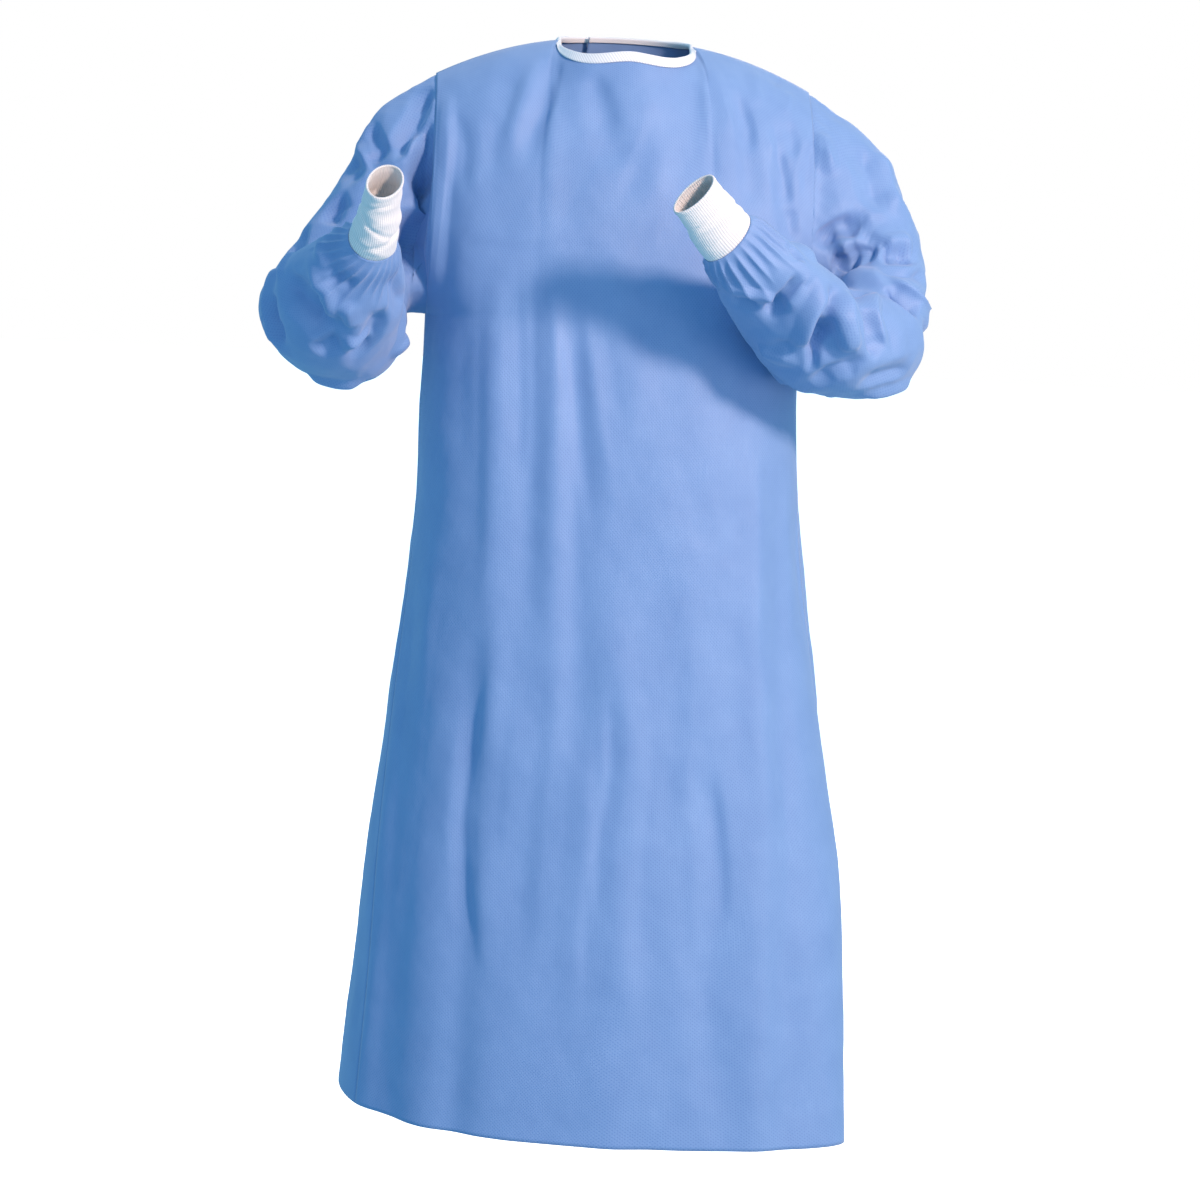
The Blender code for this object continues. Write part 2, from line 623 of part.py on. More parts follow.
def cloth_piece(name, steps, place, wall, finish, group, tube=False):
    """A grid of steps cells moved onto the form by place(u, v), with its wall on the inner side."""
    bm = bmesh.new()
    bmesh.ops.create_grid(bm, x_segments=steps[0], y_segments=steps[1], size=0.5)
    for vertex in bm.verts:
        u, v = vertex.co.x + 0.5, min(1.0, max(0.0, vertex.co.y + 0.5))
        column = round(u * steps[0])
        vertex.co = place(0.0 if tube and column == steps[0] else column / steps[0], v)
    if tube:
        bmesh.ops.remove_doubles(bm, verts=bm.verts, dist=1e-7)
    mesh = bpy.data.meshes.new(name)
    bm.to_mesh(mesh)
    bm.free()
    mesh.materials.append(finish)
    mesh.shade_smooth()
    piece = bpy.data.objects.new(name, mesh)
    group.objects.link(piece)
    solidify = piece.modifiers.new("wall", "SOLIDIFY")
    solidify.thickness = wall
    solidify.offset = -1.0
    return piece


def main():
    for old in list(bpy.data.objects):
        bpy.data.objects.remove(old)
    gown = bpy.data.collections.new("surgical_gown")
    bpy.context.scene.collection.children.link(gown)
    blue = material("gown_nonwoven", BLUE, 0.75)
    knit = material("cuff_knit", WHITE, 0.9)
    tape = material("neck_tape", WHITE, 0.8)

    cloth_piece("front_panel", (FRONT_COLUMNS, PANEL_ROWS), front_panel, WALL, blue, gown)
    tape_steps = (len(tape_frames()) - 1, TAPE_ARCS + 2)
    cloth_piece("neck_binding", tape_steps, neck_tape, TAPE_WALL, tape, gown)
    cloth_piece("neck_tab", TAB_STEPS, neck_tab, TAB_WALL, tape, gown)
    for side, word in ((RIGHT, "right"), (LEFT, "left")):
        form = SLEEVES[side]

        def back_piece(u, v, side=side):
            return back_panel(side, u if side == LEFT else 1 - u, v)

        def sleeve_piece(u, v, form=form):
            return sleeve(form, u, v)

        def cuff_piece(u, v, form=form):
            return cuff(form, u, v)

        cloth_piece(f"back_panel_{word}", (BACK_COLUMNS, PANEL_ROWS), back_piece, WALL, blue, gown)
        cloth_piece(f"sleeve_{word}", SLEEVE_STEPS, sleeve_piece, WALL, blue, gown, tube=True)
        cloth_piece(f"cuff_{word}", CUFF_STEPS, cuff_piece, KNIT_WALL, knit, gown, tube=True)


main()
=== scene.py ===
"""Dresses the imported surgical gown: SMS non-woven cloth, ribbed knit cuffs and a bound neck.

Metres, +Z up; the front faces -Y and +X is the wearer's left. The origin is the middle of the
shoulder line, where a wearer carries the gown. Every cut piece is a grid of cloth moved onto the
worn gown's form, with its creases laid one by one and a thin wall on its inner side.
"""

import logging
import math
from dataclasses import dataclass, field
from enum import Enum
from typing import Iterable, Sequence

import bmesh
import bpy
import numpy as np
from mathutils import Matrix, Vector


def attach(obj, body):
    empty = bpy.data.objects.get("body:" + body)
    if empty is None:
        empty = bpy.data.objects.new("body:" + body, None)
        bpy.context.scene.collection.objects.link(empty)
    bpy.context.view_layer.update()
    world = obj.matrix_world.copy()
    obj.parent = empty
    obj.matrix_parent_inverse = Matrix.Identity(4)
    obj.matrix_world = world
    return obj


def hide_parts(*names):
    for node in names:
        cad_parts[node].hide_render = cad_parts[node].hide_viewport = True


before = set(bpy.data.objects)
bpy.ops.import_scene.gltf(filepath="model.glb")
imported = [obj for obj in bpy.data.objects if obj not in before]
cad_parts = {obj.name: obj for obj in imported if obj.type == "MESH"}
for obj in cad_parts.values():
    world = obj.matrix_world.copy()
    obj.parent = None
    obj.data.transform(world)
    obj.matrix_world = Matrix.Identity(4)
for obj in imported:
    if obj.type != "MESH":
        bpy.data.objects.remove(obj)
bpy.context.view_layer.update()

LOG = logging.getLogger("gown")
MM = 0.001
WAVE_BANDS = 3.2  # bands of a Wave texture to the metre, at scale 1
Array = np.ndarray


class Side(Enum):
    """The wearer's sides, with the sign of x."""

    RIGHT = -1
    LEFT = 1

    def holds(self, share: Array) -> Array:
        """Which shares of a panel's half width, below 0 on the right, lie on this side."""
        return share > 0 if self is Side.LEFT else share <= 0


class Face(Enum):
    """Front and back of the gown, with the sign of y."""

    FRONT = -1
    BACK = 1


# Number helpers


def smooth(x: Array | float) -> Array:
    """0 below 0, 1 above 1, and an even S between them."""
    x = np.clip(x, 0.0, 1.0)
    return x * x * (3 - 2 * x)


def mix(a: Array | float, b: Array | float, share: Array | float) -> Array:
    """The value a share of the way from a to b."""
    return a + (b - a) * share


def mound(x: Array, middle: Array | float, width: Array | float) -> Array:
    """A round mound, 1 high at its middle."""
    return np.exp(-(((x - middle) / width) ** 2))


def unit(vectors: Array) -> Array:
    """Vectors at length 1, along the last axis."""
    return vectors / np.maximum(np.linalg.norm(vectors, axis=-1, keepdims=True), 1e-12)


def bezier(a: Array, b: Array, c: Array, d: Array, t: Array) -> Array:
    """Point of a cubic curve.

    Args:
        a, b, c, d: the curve's four points, one row for each t.
        t: places along the curve, from 0 to 1.

    Returns:
        One point for each t.
    """
    t = np.asarray(t)[..., None]
    s = 1 - t
    return a * s**3 + b * (3 * s * s * t) + c * (3 * s * t * t) + d * t**3


def polyline_lengths(points: Array) -> Array:
    """Distance along a line of points to each of them."""
    return np.concatenate(([0.0], np.cumsum(np.linalg.norm(np.diff(points, axis=0), axis=1))))


def line_at(line: Array, lengths: Array, places: Array | float) -> Array:
    """Points of a line at some places; lengths says how far along it each of its own points is."""
    return np.stack([np.interp(places, lengths, line[:, k]) for k in range(3)], -1)


class SmoothTable:
    """Rows of numbers joined by a smooth curve; the first column is the place along it."""

    def __init__(self, rows: Sequence[Sequence[float]]) -> None:
        """Keeps the rows, in the order of their first column."""
        self.rows = np.array(rows, dtype=float)

    def at(self, places: Array | float) -> Array:
        """Every column at some places.

        Args:
            places: values of the first column, of any shape.

        Returns:
            An array of that shape with one more axis, the table's columns.
        """
        rows, last = self.rows, len(self.rows) - 1
        places = np.asarray(places, dtype=float)
        i = np.searchsorted(rows[1:last, 0], places, side="left")
        before, low, high, after = (rows[np.clip(i + k, 0, last)] for k in (-1, 0, 1, 2))
        span = high[..., :1] - low[..., :1]
        t = np.clip((places[..., None] - low[..., :1]) / span, 0.0, 1.0)
        leave = (high - before) / (high[..., :1] - before[..., :1])
        arrive = (after - low) / (after[..., :1] - low[..., :1])
        rise = 3 * t * t - 2 * t**3
        bend = t * (1 - t) ** 2 * leave - t * t * (1 - t) * arrive
        return low + (high - low) * rise + span * bend


# Creases


@dataclass(frozen=True)
class Fold:
    """A broad soft fold, straight as seen from the front; a depth below 0 sinks in."""

    face: Face
    x_top: float
    drop_top: float
    x_foot: float
    drop_foot: float
    width: float
    depth: float

    ENDS = 0.22  # share of its length over which each end fades
    SPREAD = (0.8, 1.25)  # of its width, at its top and at its foot

    def offset(self, points: Array) -> Array:
        """How far the fold moves each point outwards."""
        run = np.array((self.x_foot - self.x_top, self.drop_foot - self.drop_top))
        length = np.hypot(*run)
        away_x, away_drop = points[..., 0] - self.x_top, -points[..., 2] - self.drop_top
        t = (away_x * run[0] + away_drop * run[1]) / length**2
        beside = (away_x * run[1] - away_drop * run[0]) / length
        ends = smooth(t / self.ENDS) * smooth((1 - t) / self.ENDS)
        width = self.width * mix(*self.SPREAD, smooth(t))
        return self.depth * ends * mound(beside, 0.0, width)


def folds_of(front: Sequence[tuple], back: Sequence[tuple]) -> tuple[Fold, ...]:
    """Folds from rows of their values, without the face."""
    both = ((Face.FRONT, front), (Face.BACK, back))
    return tuple(Fold(face, *row) for face, rows in both for row in rows)


def fold_offset(laid: Iterable[Fold], face: Face, points: Array) -> Array:
    """How far all the folds of one face move each point outwards."""
    offsets = (fold.offset(points) for fold in laid if fold.face is face)
    return sum(offsets, np.zeros(points.shape[:-1]))


@dataclass(frozen=True)
class Crease:
    """A crease along a few places on a form, joined by a smooth line.

    Attributes:
        path: places on the form. On a sleeve, degrees around it and share of its length; on the
            body, millimetres left of the middle and below the origin.
        width: half width, in millimetres.
        depth: outwards, in millimetres; below 0 sinks in.
        lean: from -1 to 1; the side that it leans to is wider and the other one steeper.
        sharp: 2 is round, and towards 1 its line is a pressed edge.
        ends: share of the length over which each end fades.
        whole: whether it keeps its depth where a bent arm crowds the cloth.
    """

    path: tuple[tuple[float, float], ...]
    width: float
    depth: float
    lean: float = 0.0
    sharp: float = 1.5
    ends: float = 0.3
    whole: bool = False

    STEPS = 8  # between two places of the path
    REACH = 2.0  # of the width, where its flat flanks meet the cloth
    FOOT = 0.012  # how softly they meet it
    LOOK = 4.0  # of the width, as far from its line as it is worked out
    TURN = 1.5  # how quickly the lean changes hands across its line

    def places(self) -> Array:
        """The path's places with smooth steps between them."""
        path = np.array(self.path, dtype=float)
        keys = np.arange(len(path), dtype=float)
        table = SmoothTable(np.column_stack((keys, path)))
        return table.at(np.linspace(0, keys[-1], self.STEPS * (len(path) - 1) + 1))[:, 1:]

    def offset(self, line: Array, points: Array, outs: Array) -> Array:
        """How far the crease moves each point along its way out.

        Args:
            line: the crease's line on the form, in metres.
            points: the form's points.
            outs: the form's way out at each point.

        Returns:
            Metres, one for each point.
        """
        reach = self.width * MM * self.LOOK
        near = np.all((points > line.min(0) - reach) & (points < line.max(0) + reach), axis=-1)
        found = np.zeros(points.shape[:-1])
        if not near.any():
            return found
        at, out = points[near], outs[near]
        lengths = polyline_lengths(line)
        best, along, hand = np.full(len(at), np.inf), np.zeros(len(at)), np.ones(len(at))
        for i, (a, b) in enumerate(zip(line, line[1:])):
            run = b - a
            t = np.clip((at - a) @ run / (run @ run), 0, 1)
            away = at - (a + t[:, None] * run)
            gap = np.linalg.norm(away, axis=1)
            closer = gap < best
            best = np.where(closer, gap, best)
            along = np.where(closer, mix(lengths[i], lengths[i + 1], t) / lengths[-1], along)
            turn = np.einsum("ij,ij->i", np.cross(np.broadcast_to(run, out.shape), out), away)
            hand = np.where(closer, turn / (np.linalg.norm(run) * np.maximum(gap, 1e-9)), hand)
        width = self.width * MM * (1 + self.lean * np.clip(hand * self.TURN, -1, 1))
        fade = smooth(along / self.ends) * smooth((1 - along) / self.ends)
        crest = (self.sharp - 1) * width
        rise = np.hypot(best, crest) - crest
        left = 1 - rise / (np.hypot(self.REACH * width, crest) - crest)
        found[near] = self.depth * MM * fade * (left + np.sqrt(left**2 + self.FOOT)) / 2
        return found


def creases_of(*rows: tuple) -> tuple[Crease, ...]:
    """Creases from rows of their values."""
    return tuple(Crease(*row) for row in rows)


@dataclass(frozen=True)
class Ripples:
    """Faint waves of handled cloth: a sum of plane waves in random directions."""

    wavelength: float
    height: float
    seed: int
    waves: int = 14
    stretch: tuple[float, float, float] = (1.0, 1.0, 0.55)

    LENGTHS = (0.6, 1.7)  # of the wavelength, shortest and longest wave

    def offset(self, points: Array) -> Array:
        """Height of the waves at each point."""
        draw = np.random.default_rng(self.seed)
        total = np.zeros(points.shape[:-1])
        for _ in range(self.waves):
            way = unit(draw.normal(size=3)) * np.array(self.stretch)
            pitch = self.wavelength * draw.uniform(*self.LENGTHS)
            total += np.sin(points @ way * (2 * math.pi / pitch) + draw.uniform(0, 2 * math.pi))
        return total * (self.height / math.sqrt(self.waves))


@dataclass(frozen=True)
class Crumple:
    """Crisp crossing ridges with flat facets between them, as stiff paper-like cloth takes.

    Each wave is a row of straight ridges, bent a little by a slow wave and calm in places.
    """

    pitch: float
    height: float
    seed: int
    waves: int = 7
    stretch: tuple[float, float, float] = (1.0, 1.0, 1.0)
    bend: float = 0.9

    PITCHES = (0.7, 1.6)  # of the pitch, narrowest and widest row
    SLOW = 2.3  # pitches in a slow wave
    CALM = (0.45, 0.75)  # mean height of the ridges, and how much it comes and goes
    MEAN = 0.64  # of a row of ridges, near 2 / pi, so that the rows lift nothing
    FURROW = -0.8  # every third row, turned over

    def offset(self, points: Array) -> Array:
        """Height of the ridges at each point."""
        draw = np.random.default_rng(self.seed)
        total = np.zeros(points.shape[:-1])
        for number in range(self.waves):
            way = unit(draw.normal(size=3)) * np.array(self.stretch)
            pitch = self.pitch * draw.uniform(*self.PITCHES)
            turns = 2 * math.pi / (self.pitch * self.SLOW)
            slow = [unit(draw.normal(size=3)) * turns for _ in range(2)]
            bent = np.sin(points @ slow[0] + draw.uniform(0, 6)) * self.bend
            calm = self.CALM[0] + self.CALM[1] * np.sin(points @ slow[1] + draw.uniform(0, 6))
            phase = points @ way * (math.pi / pitch) + bent + draw.uniform(0, 6)
            ridge = self.MEAN - np.abs(np.sin(phase))
            total += ridge * smooth(calm) * (1.0 if number % 3 else self.FURROW)
        return total * (self.height / math.sqrt(self.waves))


def grid_normals(points: Array, tube: bool) -> Array:
    """Way out of a grid of cloth at each point.

    Args:
        points: rows by columns by 3.
        tube: whether the last column is the first one again.

    Returns:
        Unit vectors, as many as points.
    """
    if tube:
        ring = points[:, :-1]
        across = np.roll(ring, -1, axis=1) - np.roll(ring, 1, axis=1)
        across = np.concatenate((across, across[:, :1]), axis=1)
    else:
        across = np.gradient(points, axis=1)
    return unit(np.cross(across, np.gradient(points, axis=0)))


# Colours and nodes


def linear(code: str) -> tuple[float, float, float, float]:
    """Linear colour of an sRGB hex code such as 7fa3dc."""
    values = (int(code[i : i + 2], 16) / 255 for i in (0, 2, 4))
    return *(v / 12.92 if v <= 0.04045 else ((v + 0.055) / 1.055) ** 2.4 for v in values), 1.0


def feed(target: bpy.types.Node, inputs: dict) -> None:
    """Fills a node's inputs; an output socket is linked, a number or a colour is set."""
    for socket, value in inputs.items():
        if isinstance(value, bpy.types.NodeSocket):
            target.id_data.links.new(value, target.inputs[socket])
        else:
            target.inputs[socket].default_value = value


def node(tree: bpy.types.NodeTree, kind: str, inputs: dict, **settings: object) -> bpy.types.Node:
    """Adds a node.

    Args:
        tree: the material's node tree.
        kind: node type, without its ShaderNode prefix.
        inputs: socket name or index to a number, a colour, or an output socket to link.
        settings: the node's own properties.

    Returns:
        The node.
    """
    made = tree.nodes.new(f"ShaderNode{kind}")
    for name, value in settings.items():
        setattr(made, name, value)
    feed(made, inputs)
    return made


def fresh_material(name: str, shader_inputs: dict) -> tuple[bpy.types.Material, bpy.types.Node]:
    """A material with one Principled shader.

    Args:
        name: the real material and how it was made.
        shader_inputs: values that are the same all over the surface.

    Returns:
        The material and its shader.
    """
    made = bpy.data.materials.new(name)
    made.use_nodes = True
    shader = made.node_tree.nodes["Principled BSDF"]
    feed(shader, shader_inputs)
    return made, shader


@dataclass(frozen=True)
class NonwovenFinish:
    """Spunbond-meltblown-spunbond polypropylene: fine laid fibres, bonded in a lattice of points.

    The eye gets a soft matt blue with a slight silk, faint streaks along the cloth's length and a
    grid of tiny glossier dots. The dots are 1.4 mm apart on real cloth and drawn 2.6 mm apart, as
    the real lattice is finer than a render shows.
    """

    light: str = "7ca0cf"
    middle: str = "6d92c4"
    deep: str = "5f84b9"
    pressed: str = "8fb0e4"
    dot_pitch: float = 2.6 * MM
    dot_radii: tuple[float, float] = (0.16, 0.34)  # of the pitch, where a dot fades and ends
    dot_tint: float = 0.4
    dot_gloss: float = 0.18
    dot_depth: float = 0.55
    fibre_width: float = 1.6 * MM
    fibre_length: float = 28 * MM
    fibre_tint: float = 0.8
    cloud: float = 45 * MM
    roughness: float = 0.68
    bump: float = 0.30 * MM

    def make(self) -> bpy.types.Material:
        """Builds the material."""
        made, shader = fresh_material(
            "sms_nonwoven_point_bonded",
            {
                "Metallic": 0.0,
                "IOR": 1.49,
                "Specular IOR Level": 0.8,
                "Sheen Weight": 0.25,
                "Sheen Roughness": 0.6,
            },
        )
        tree = made.node_tree
        place = node(tree, "TexCoord", {}).outputs["Object"]
        cloth = node(tree, "UVMap", {}, uv_map="cloth").outputs["UV"]

        clouds = node(
            tree,
            "TexNoise",
            {"Vector": place, "Scale": 1 / self.cloud, "Detail": 3.0, "Roughness": 0.55},
        ).outputs["Fac"]
        drawn = (1 / self.fibre_width, 1 / self.fibre_length, 1.0)
        along = node(tree, "Mapping", {"Vector": cloth, "Scale": drawn}).outputs["Vector"]
        fibres = node(
            tree, "TexNoise", {"Vector": along, "Scale": 1.0, "Detail": 4.0, "Roughness": 0.6}
        ).outputs["Fac"]
        slant = (0.0, 0.0, math.radians(45))
        turned = node(tree, "Mapping", {"Vector": cloth, "Rotation": slant}).outputs["Vector"]
        lattice = node(
            tree,
            "TexVoronoi",
            {"Vector": turned, "Scale": 1 / self.dot_pitch, "Randomness": 0.12},
            voronoi_dimensions="2D",
        ).outputs["Distance"]
        core, rim = self.dot_radii
        dot = node(
            tree,
            "MapRange",
            {"Value": lattice, "From Min": core, "From Max": rim, "To Min": 1.0, "To Max": 0.0},
        ).outputs["Result"]

        patchy = node(
            tree, "Mix", {0: clouds, 6: linear(self.deep), 7: linear(self.light)}, data_type="RGBA"
        ).outputs[2]
        streak = node(
            tree,
            "MapRange",
            {"Value": fibres, "From Min": 0.35, "From Max": 0.65, "To Max": self.fibre_tint},
        ).outputs["Result"]
        toned = node(
            tree, "Mix", {0: streak, 6: patchy, 7: linear(self.middle)}, data_type="RGBA"
        ).outputs[2]
        tinted = node(tree, "Math", {0: dot, 1: self.dot_tint}, operation="MULTIPLY").outputs[0]
        dotted = node(
            tree,
            "Mix",
            {0: tinted, 6: toned, 7: linear(self.pressed)},
            data_type="RGBA",
            blend_type="MULTIPLY",
        ).outputs[2]
        glossier = self.roughness - self.dot_gloss
        rough = node(
            tree, "MapRange", {"Value": dot, "To Min": self.roughness, "To Max": glossier}
        ).outputs["Result"]

        sunk = node(tree, "Math", {0: dot, 1: -self.dot_depth}, operation="MULTIPLY").outputs[0]
        relief = node(tree, "Math", {0: fibres, 1: sunk}, operation="ADD").outputs[0]
        bump = node(tree, "Bump", {"Strength": 0.55, "Distance": self.bump, "Height": relief})
        feed(shader, {"Base Color": dotted, "Roughness": rough, "Normal": bump.outputs["Normal"]})
        return made


@dataclass(frozen=True)
class KnitFinish:
    """Polyester rib knit: columns of loops, matt and very white, with painted shade greying the
    hollows between the ribs.

    The modelled ribs give the columns; the bump gives the loops along each one. Loops are 0.9 mm
    long on real cuffs and drawn 1.6 mm long, since finer ones are lost in the render.
    """

    yarn: str = "f4f3f1"
    # painted shade: the grey laid in the hollows between the modelled ribs
    painted_groove_shade: str = "cfcccb"
    loop: float = 1.6 * MM
    fuzz: float = 900.0  # to the metre
    roughness: float = 0.9
    bump: float = 0.25 * MM

    def make(self) -> bpy.types.Material:
        """Builds the material."""
        made, shader = fresh_material(
            "polyester_rib_knit",
            {
                "Metallic": 0.0,
                "Roughness": self.roughness,
                "IOR": 1.5,
                "Sheen Weight": 0.25,
                "Sheen Roughness": 0.6,
            },
        )
        tree = made.node_tree
        cloth = node(tree, "UVMap", {}, uv_map="cloth").outputs["UV"]
        rib = node(tree, "Attribute", {}, attribute_name="rib").outputs["Fac"]
        loops = node(
            tree,
            "TexWave",
            {
                "Vector": cloth,
                "Scale": 1 / self.loop / WAVE_BANDS,
                "Distortion": 1.2,
                "Detail": 2.0,
                "Detail Scale": 3.0,
            },
            bands_direction="Y",
        ).outputs["Fac"]
        fuzz = node(tree, "TexNoise", {"Vector": cloth, "Scale": self.fuzz, "Detail": 3.0})
        # painted shade: the rib attribute mixes the grey into the hollows between the ribs and the
        # yarn's white onto their crests
        shade = node(
            tree, "Mix", {0: rib, 6: linear(self.painted_groove_shade), 7: linear(self.yarn)}, data_type="RGBA"
        ).outputs[2]
        relief = node(tree, "Math", {0: loops, 1: fuzz.outputs["Fac"]}, operation="ADD").outputs[0]
        bump = node(tree, "Bump", {"Strength": 0.5, "Distance": self.bump, "Height": relief})
        feed(shader, {"Base Color": shade, "Normal": bump.outputs["Normal"]})
        return made


@dataclass(frozen=True)
class TapeFinish:
    """Woven polyester twill tape or hook-and-loop tape: bright white, fine diagonal ribs."""

    name: str = "polyester_twill_tape"
    thread: str = "efeff0"
    shade: str = "d4d6d9"
    pitch: float = 1.5 * MM  # 0.7 mm on real tape, coarser here so that it shows
    roughness: float = 0.8
    bump: float = 0.2 * MM

    def make(self) -> bpy.types.Material:
        """Builds the material."""
        made, shader = fresh_material(
            self.name,
            {"Metallic": 0.0, "Roughness": self.roughness, "IOR": 1.5, "Sheen Weight": 0.15},
        )
        tree = made.node_tree
        cloth = node(tree, "UVMap", {}, uv_map="cloth").outputs["UV"]
        scale = 1 / self.pitch / WAVE_BANDS
        twill = node(
            tree,
            "TexWave",
            {"Vector": cloth, "Scale": scale, "Distortion": 0.6, "Detail": 1.0},
            bands_direction="DIAGONAL",
        ).outputs["Fac"]
        tint = node(
            tree, "Mix", {0: twill, 6: linear(self.shade), 7: linear(self.thread)}, data_type="RGBA"
        ).outputs[2]
        bump = node(tree, "Bump", {"Strength": 0.4, "Distance": self.bump, "Height": twill})
        feed(shader, {"Base Color": tint, "Normal": bump.outputs["Normal"]})
        return made


@dataclass(frozen=True)
class ThreadFinish:
    """Spun polyester sewing thread: short matt stitches with a twist along them."""

    name: str
    thread: str
    shade: str = "c8c8c8"
    twist: float = 1200.0  # to the metre
    roughness: float = 0.75

    def make(self) -> bpy.types.Material:
        """Builds the material."""
        made, shader = fresh_material(
            self.name, {"Metallic": 0.0, "Roughness": self.roughness, "Sheen Weight": 0.2}
        )
        tree = made.node_tree
        place = node(tree, "TexCoord", {}).outputs["Object"]
        twist = node(tree, "TexNoise", {"Vector": place, "Scale": self.twist, "Detail": 2.0})
        tint = node(
            tree,
            "Mix",
            {0: twist.outputs["Fac"], 6: linear(self.thread), 7: linear(self.shade)},
            data_type="RGBA",
            blend_type="MULTIPLY",
        )
        feed(shader, {"Base Color": tint.outputs[2]})
        return made


@dataclass(frozen=True)
class FloorFinish:
    """White acrylic light table as a studio floor: lit from below, with the faintest mottle."""

    paint: str = "f6f6f6"
    worn: str = "f1f1f2"
    glow: float = 0.92

    def make(self) -> bpy.types.Material:
        """Builds the material."""
        made, shader = fresh_material(
            "opal_acrylic_light_table",
            {
                "Roughness": 0.95,
                "Specular IOR Level": 0.1,
                "Emission Color": linear("ffffff"),
                "Emission Strength": self.glow,
            },
        )
        tree = made.node_tree
        place = node(tree, "TexCoord", {}).outputs["Object"]
        mottle = node(tree, "TexNoise", {"Vector": place, "Scale": 1.5, "Detail": 2.0})
        tint = node(
            tree,
            "Mix",
            {0: mottle.outputs["Fac"], 6: linear(self.paint), 7: linear(self.worn)},
            data_type="RGBA",
        )
        feed(shader, {"Base Color": tint.outputs[2]})
        return made


class Finishes:
    """Every material of the gown, made once."""

    def __init__(self) -> None:
        """Builds the materials."""
        self.nonwoven = NonwovenFinish().make()
        self.knit = KnitFinish().make()
        self.tape = TapeFinish().make()
        self.fastener = TapeFinish("hook_and_loop_tape", "ecedee", "c9cbce", 2.2 * MM, 0.9).make()
        self.white_thread = ThreadFinish("white_polyester_thread", "f2f2f2").make()


# Making pieces


def mesh_object(name: str, bm: bmesh.types.BMesh, finish: bpy.types.Material) -> bpy.types.Object:
    """An object of the scene, made of a bmesh, which is freed."""
    mesh = bpy.data.meshes.new(name)
    bm.to_mesh(mesh)
    bm.free()
    mesh.materials.append(finish)
    made = bpy.data.objects.new(name, mesh)
    bpy.context.scene.collection.objects.link(made)
    return made


@dataclass(frozen=True)
class Cut:
    """The flat piece that a sheet was cut from: its box and its own area."""

    width: float
    length: float
    area: float
    held: str


@dataclass
class ClothPiece:
    """One cut piece: a grid of cloth with a wall on its inner side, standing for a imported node."""

    name: str
    nodes: tuple[str, ...]
    slot: str
    wall: float
    cut: Cut
    tube: bool = False

    JOINED = 1e-7  # metres between a tube's first and last columns

    def build(
        self, points: Array, finish: bpy.types.Material, ribs: Array | None = None
    ) -> bpy.types.Object:
        """Makes the piece's mesh and hands it to the frame.

        Args:
            points: rows by columns by 3, the outer face.
            finish: the cloth's material.
            ribs: a value for each grid point, kept as the attribute rib.

        Returns:
            The piece.
        """
        rows, columns = points.shape[0] - 1, points.shape[1] - 1
        bm = bmesh.new()
        bm.loops.layers.uv.new("cloth")
        bmesh.ops.create_grid(bm, x_segments=columns, y_segments=rows, size=0.5, calc_uvs=True)
        ridge = bm.verts.layers.float.new("rib") if ribs is not None else None
        for vertex in bm.verts:
            column = round((vertex.co.x + 0.5) * columns)
            row = round((vertex.co.y + 0.5) * rows)
            vertex.co = points[row, column]
            if ridge is not None:
                vertex[ridge] = ribs[row, column]
        if self.tube:
            bmesh.ops.remove_doubles(bm, verts=bm.verts, dist=self.JOINED)
        piece = mesh_object(self.name, bm, finish)
        mesh = piece.data
        self.scale_uvs(mesh, points)
        mesh.shade_smooth()
        solidify = piece.modifiers.new("wall", "SOLIDIFY")
        solidify.thickness, solidify.offset = self.wall, -1.0
        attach(piece, "root")
        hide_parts(*self.nodes)
        return piece

    @staticmethod
    def scale_uvs(mesh: bpy.types.Mesh, points: Array) -> None:
        """Turns the grid's 0 to 1 map into metres along the cloth."""
        width = np.linalg.norm(np.diff(points, axis=1), axis=-1).sum(1).mean()
        length = np.linalg.norm(np.diff(points, axis=0), axis=-1).sum(0).mean()
        layer = mesh.uv_layers["cloth"].uv
        flat = np.empty(len(layer) * 2)
        layer.foreach_get("vector", flat)
        layer.foreach_set("vector", (flat.reshape(-1, 2) * (width, length)).ravel())


@dataclass
class Stitches:
    """A row of stitches: short beads of thread laid along a line on the cloth."""

    name: str
    slot: str
    length: float = 3.0 * MM
    gap: float = 1.2 * MM
    thickness: float = 0.55 * MM
    sink: float = 0.15 * MM

    SIDES, RINGS = 6, 4
    STEP = 1.0 * MM  # each way along the line, to find how it runs

    def build(
        self, lines: Sequence[tuple[Array, Array]], thread: bpy.types.Material
    ) -> bpy.types.Object:
        """Makes every stitch as one piece.

        Args:
            lines: pairs of a line's points and the way out of the cloth at each of them.
            thread: the thread's material.

        Returns:
            The piece.
        """
        bm = bmesh.new()
        size = Matrix.Diagonal((self.thickness / 2, self.thickness / 2, self.length / 2, 1.0))
        for points, outs in lines:
            lengths = polyline_lengths(points)
            count = int(lengths[-1] / (self.length + self.gap))
            for place in (np.arange(count) + 0.5) * (lengths[-1] / count):
                at = Vector(line_at(points, lengths, place))
                out = Vector(line_at(outs, lengths, place)).normalized()
                back, ahead = line_at(points, lengths, place + np.array((-self.STEP, self.STEP)))
                way = Vector(ahead - back).normalized()
                beside = out.cross(way).normalized()
                turn = Matrix((beside, way.cross(beside), way)).transposed().to_4x4()
                spot = Matrix.Translation(at - out * self.sink) @ turn @ size
                bmesh.ops.create_uvsphere(
                    bm, u_segments=self.SIDES, v_segments=self.RINGS, radius=1.0, matrix=spot
                )
        piece = mesh_object(self.name, bm, thread)
        piece.data.shade_smooth()
        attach(piece, "root")
        LOG.info("%s: %d faces", self.name, len(piece.data.polygons))
        return piece


# The body


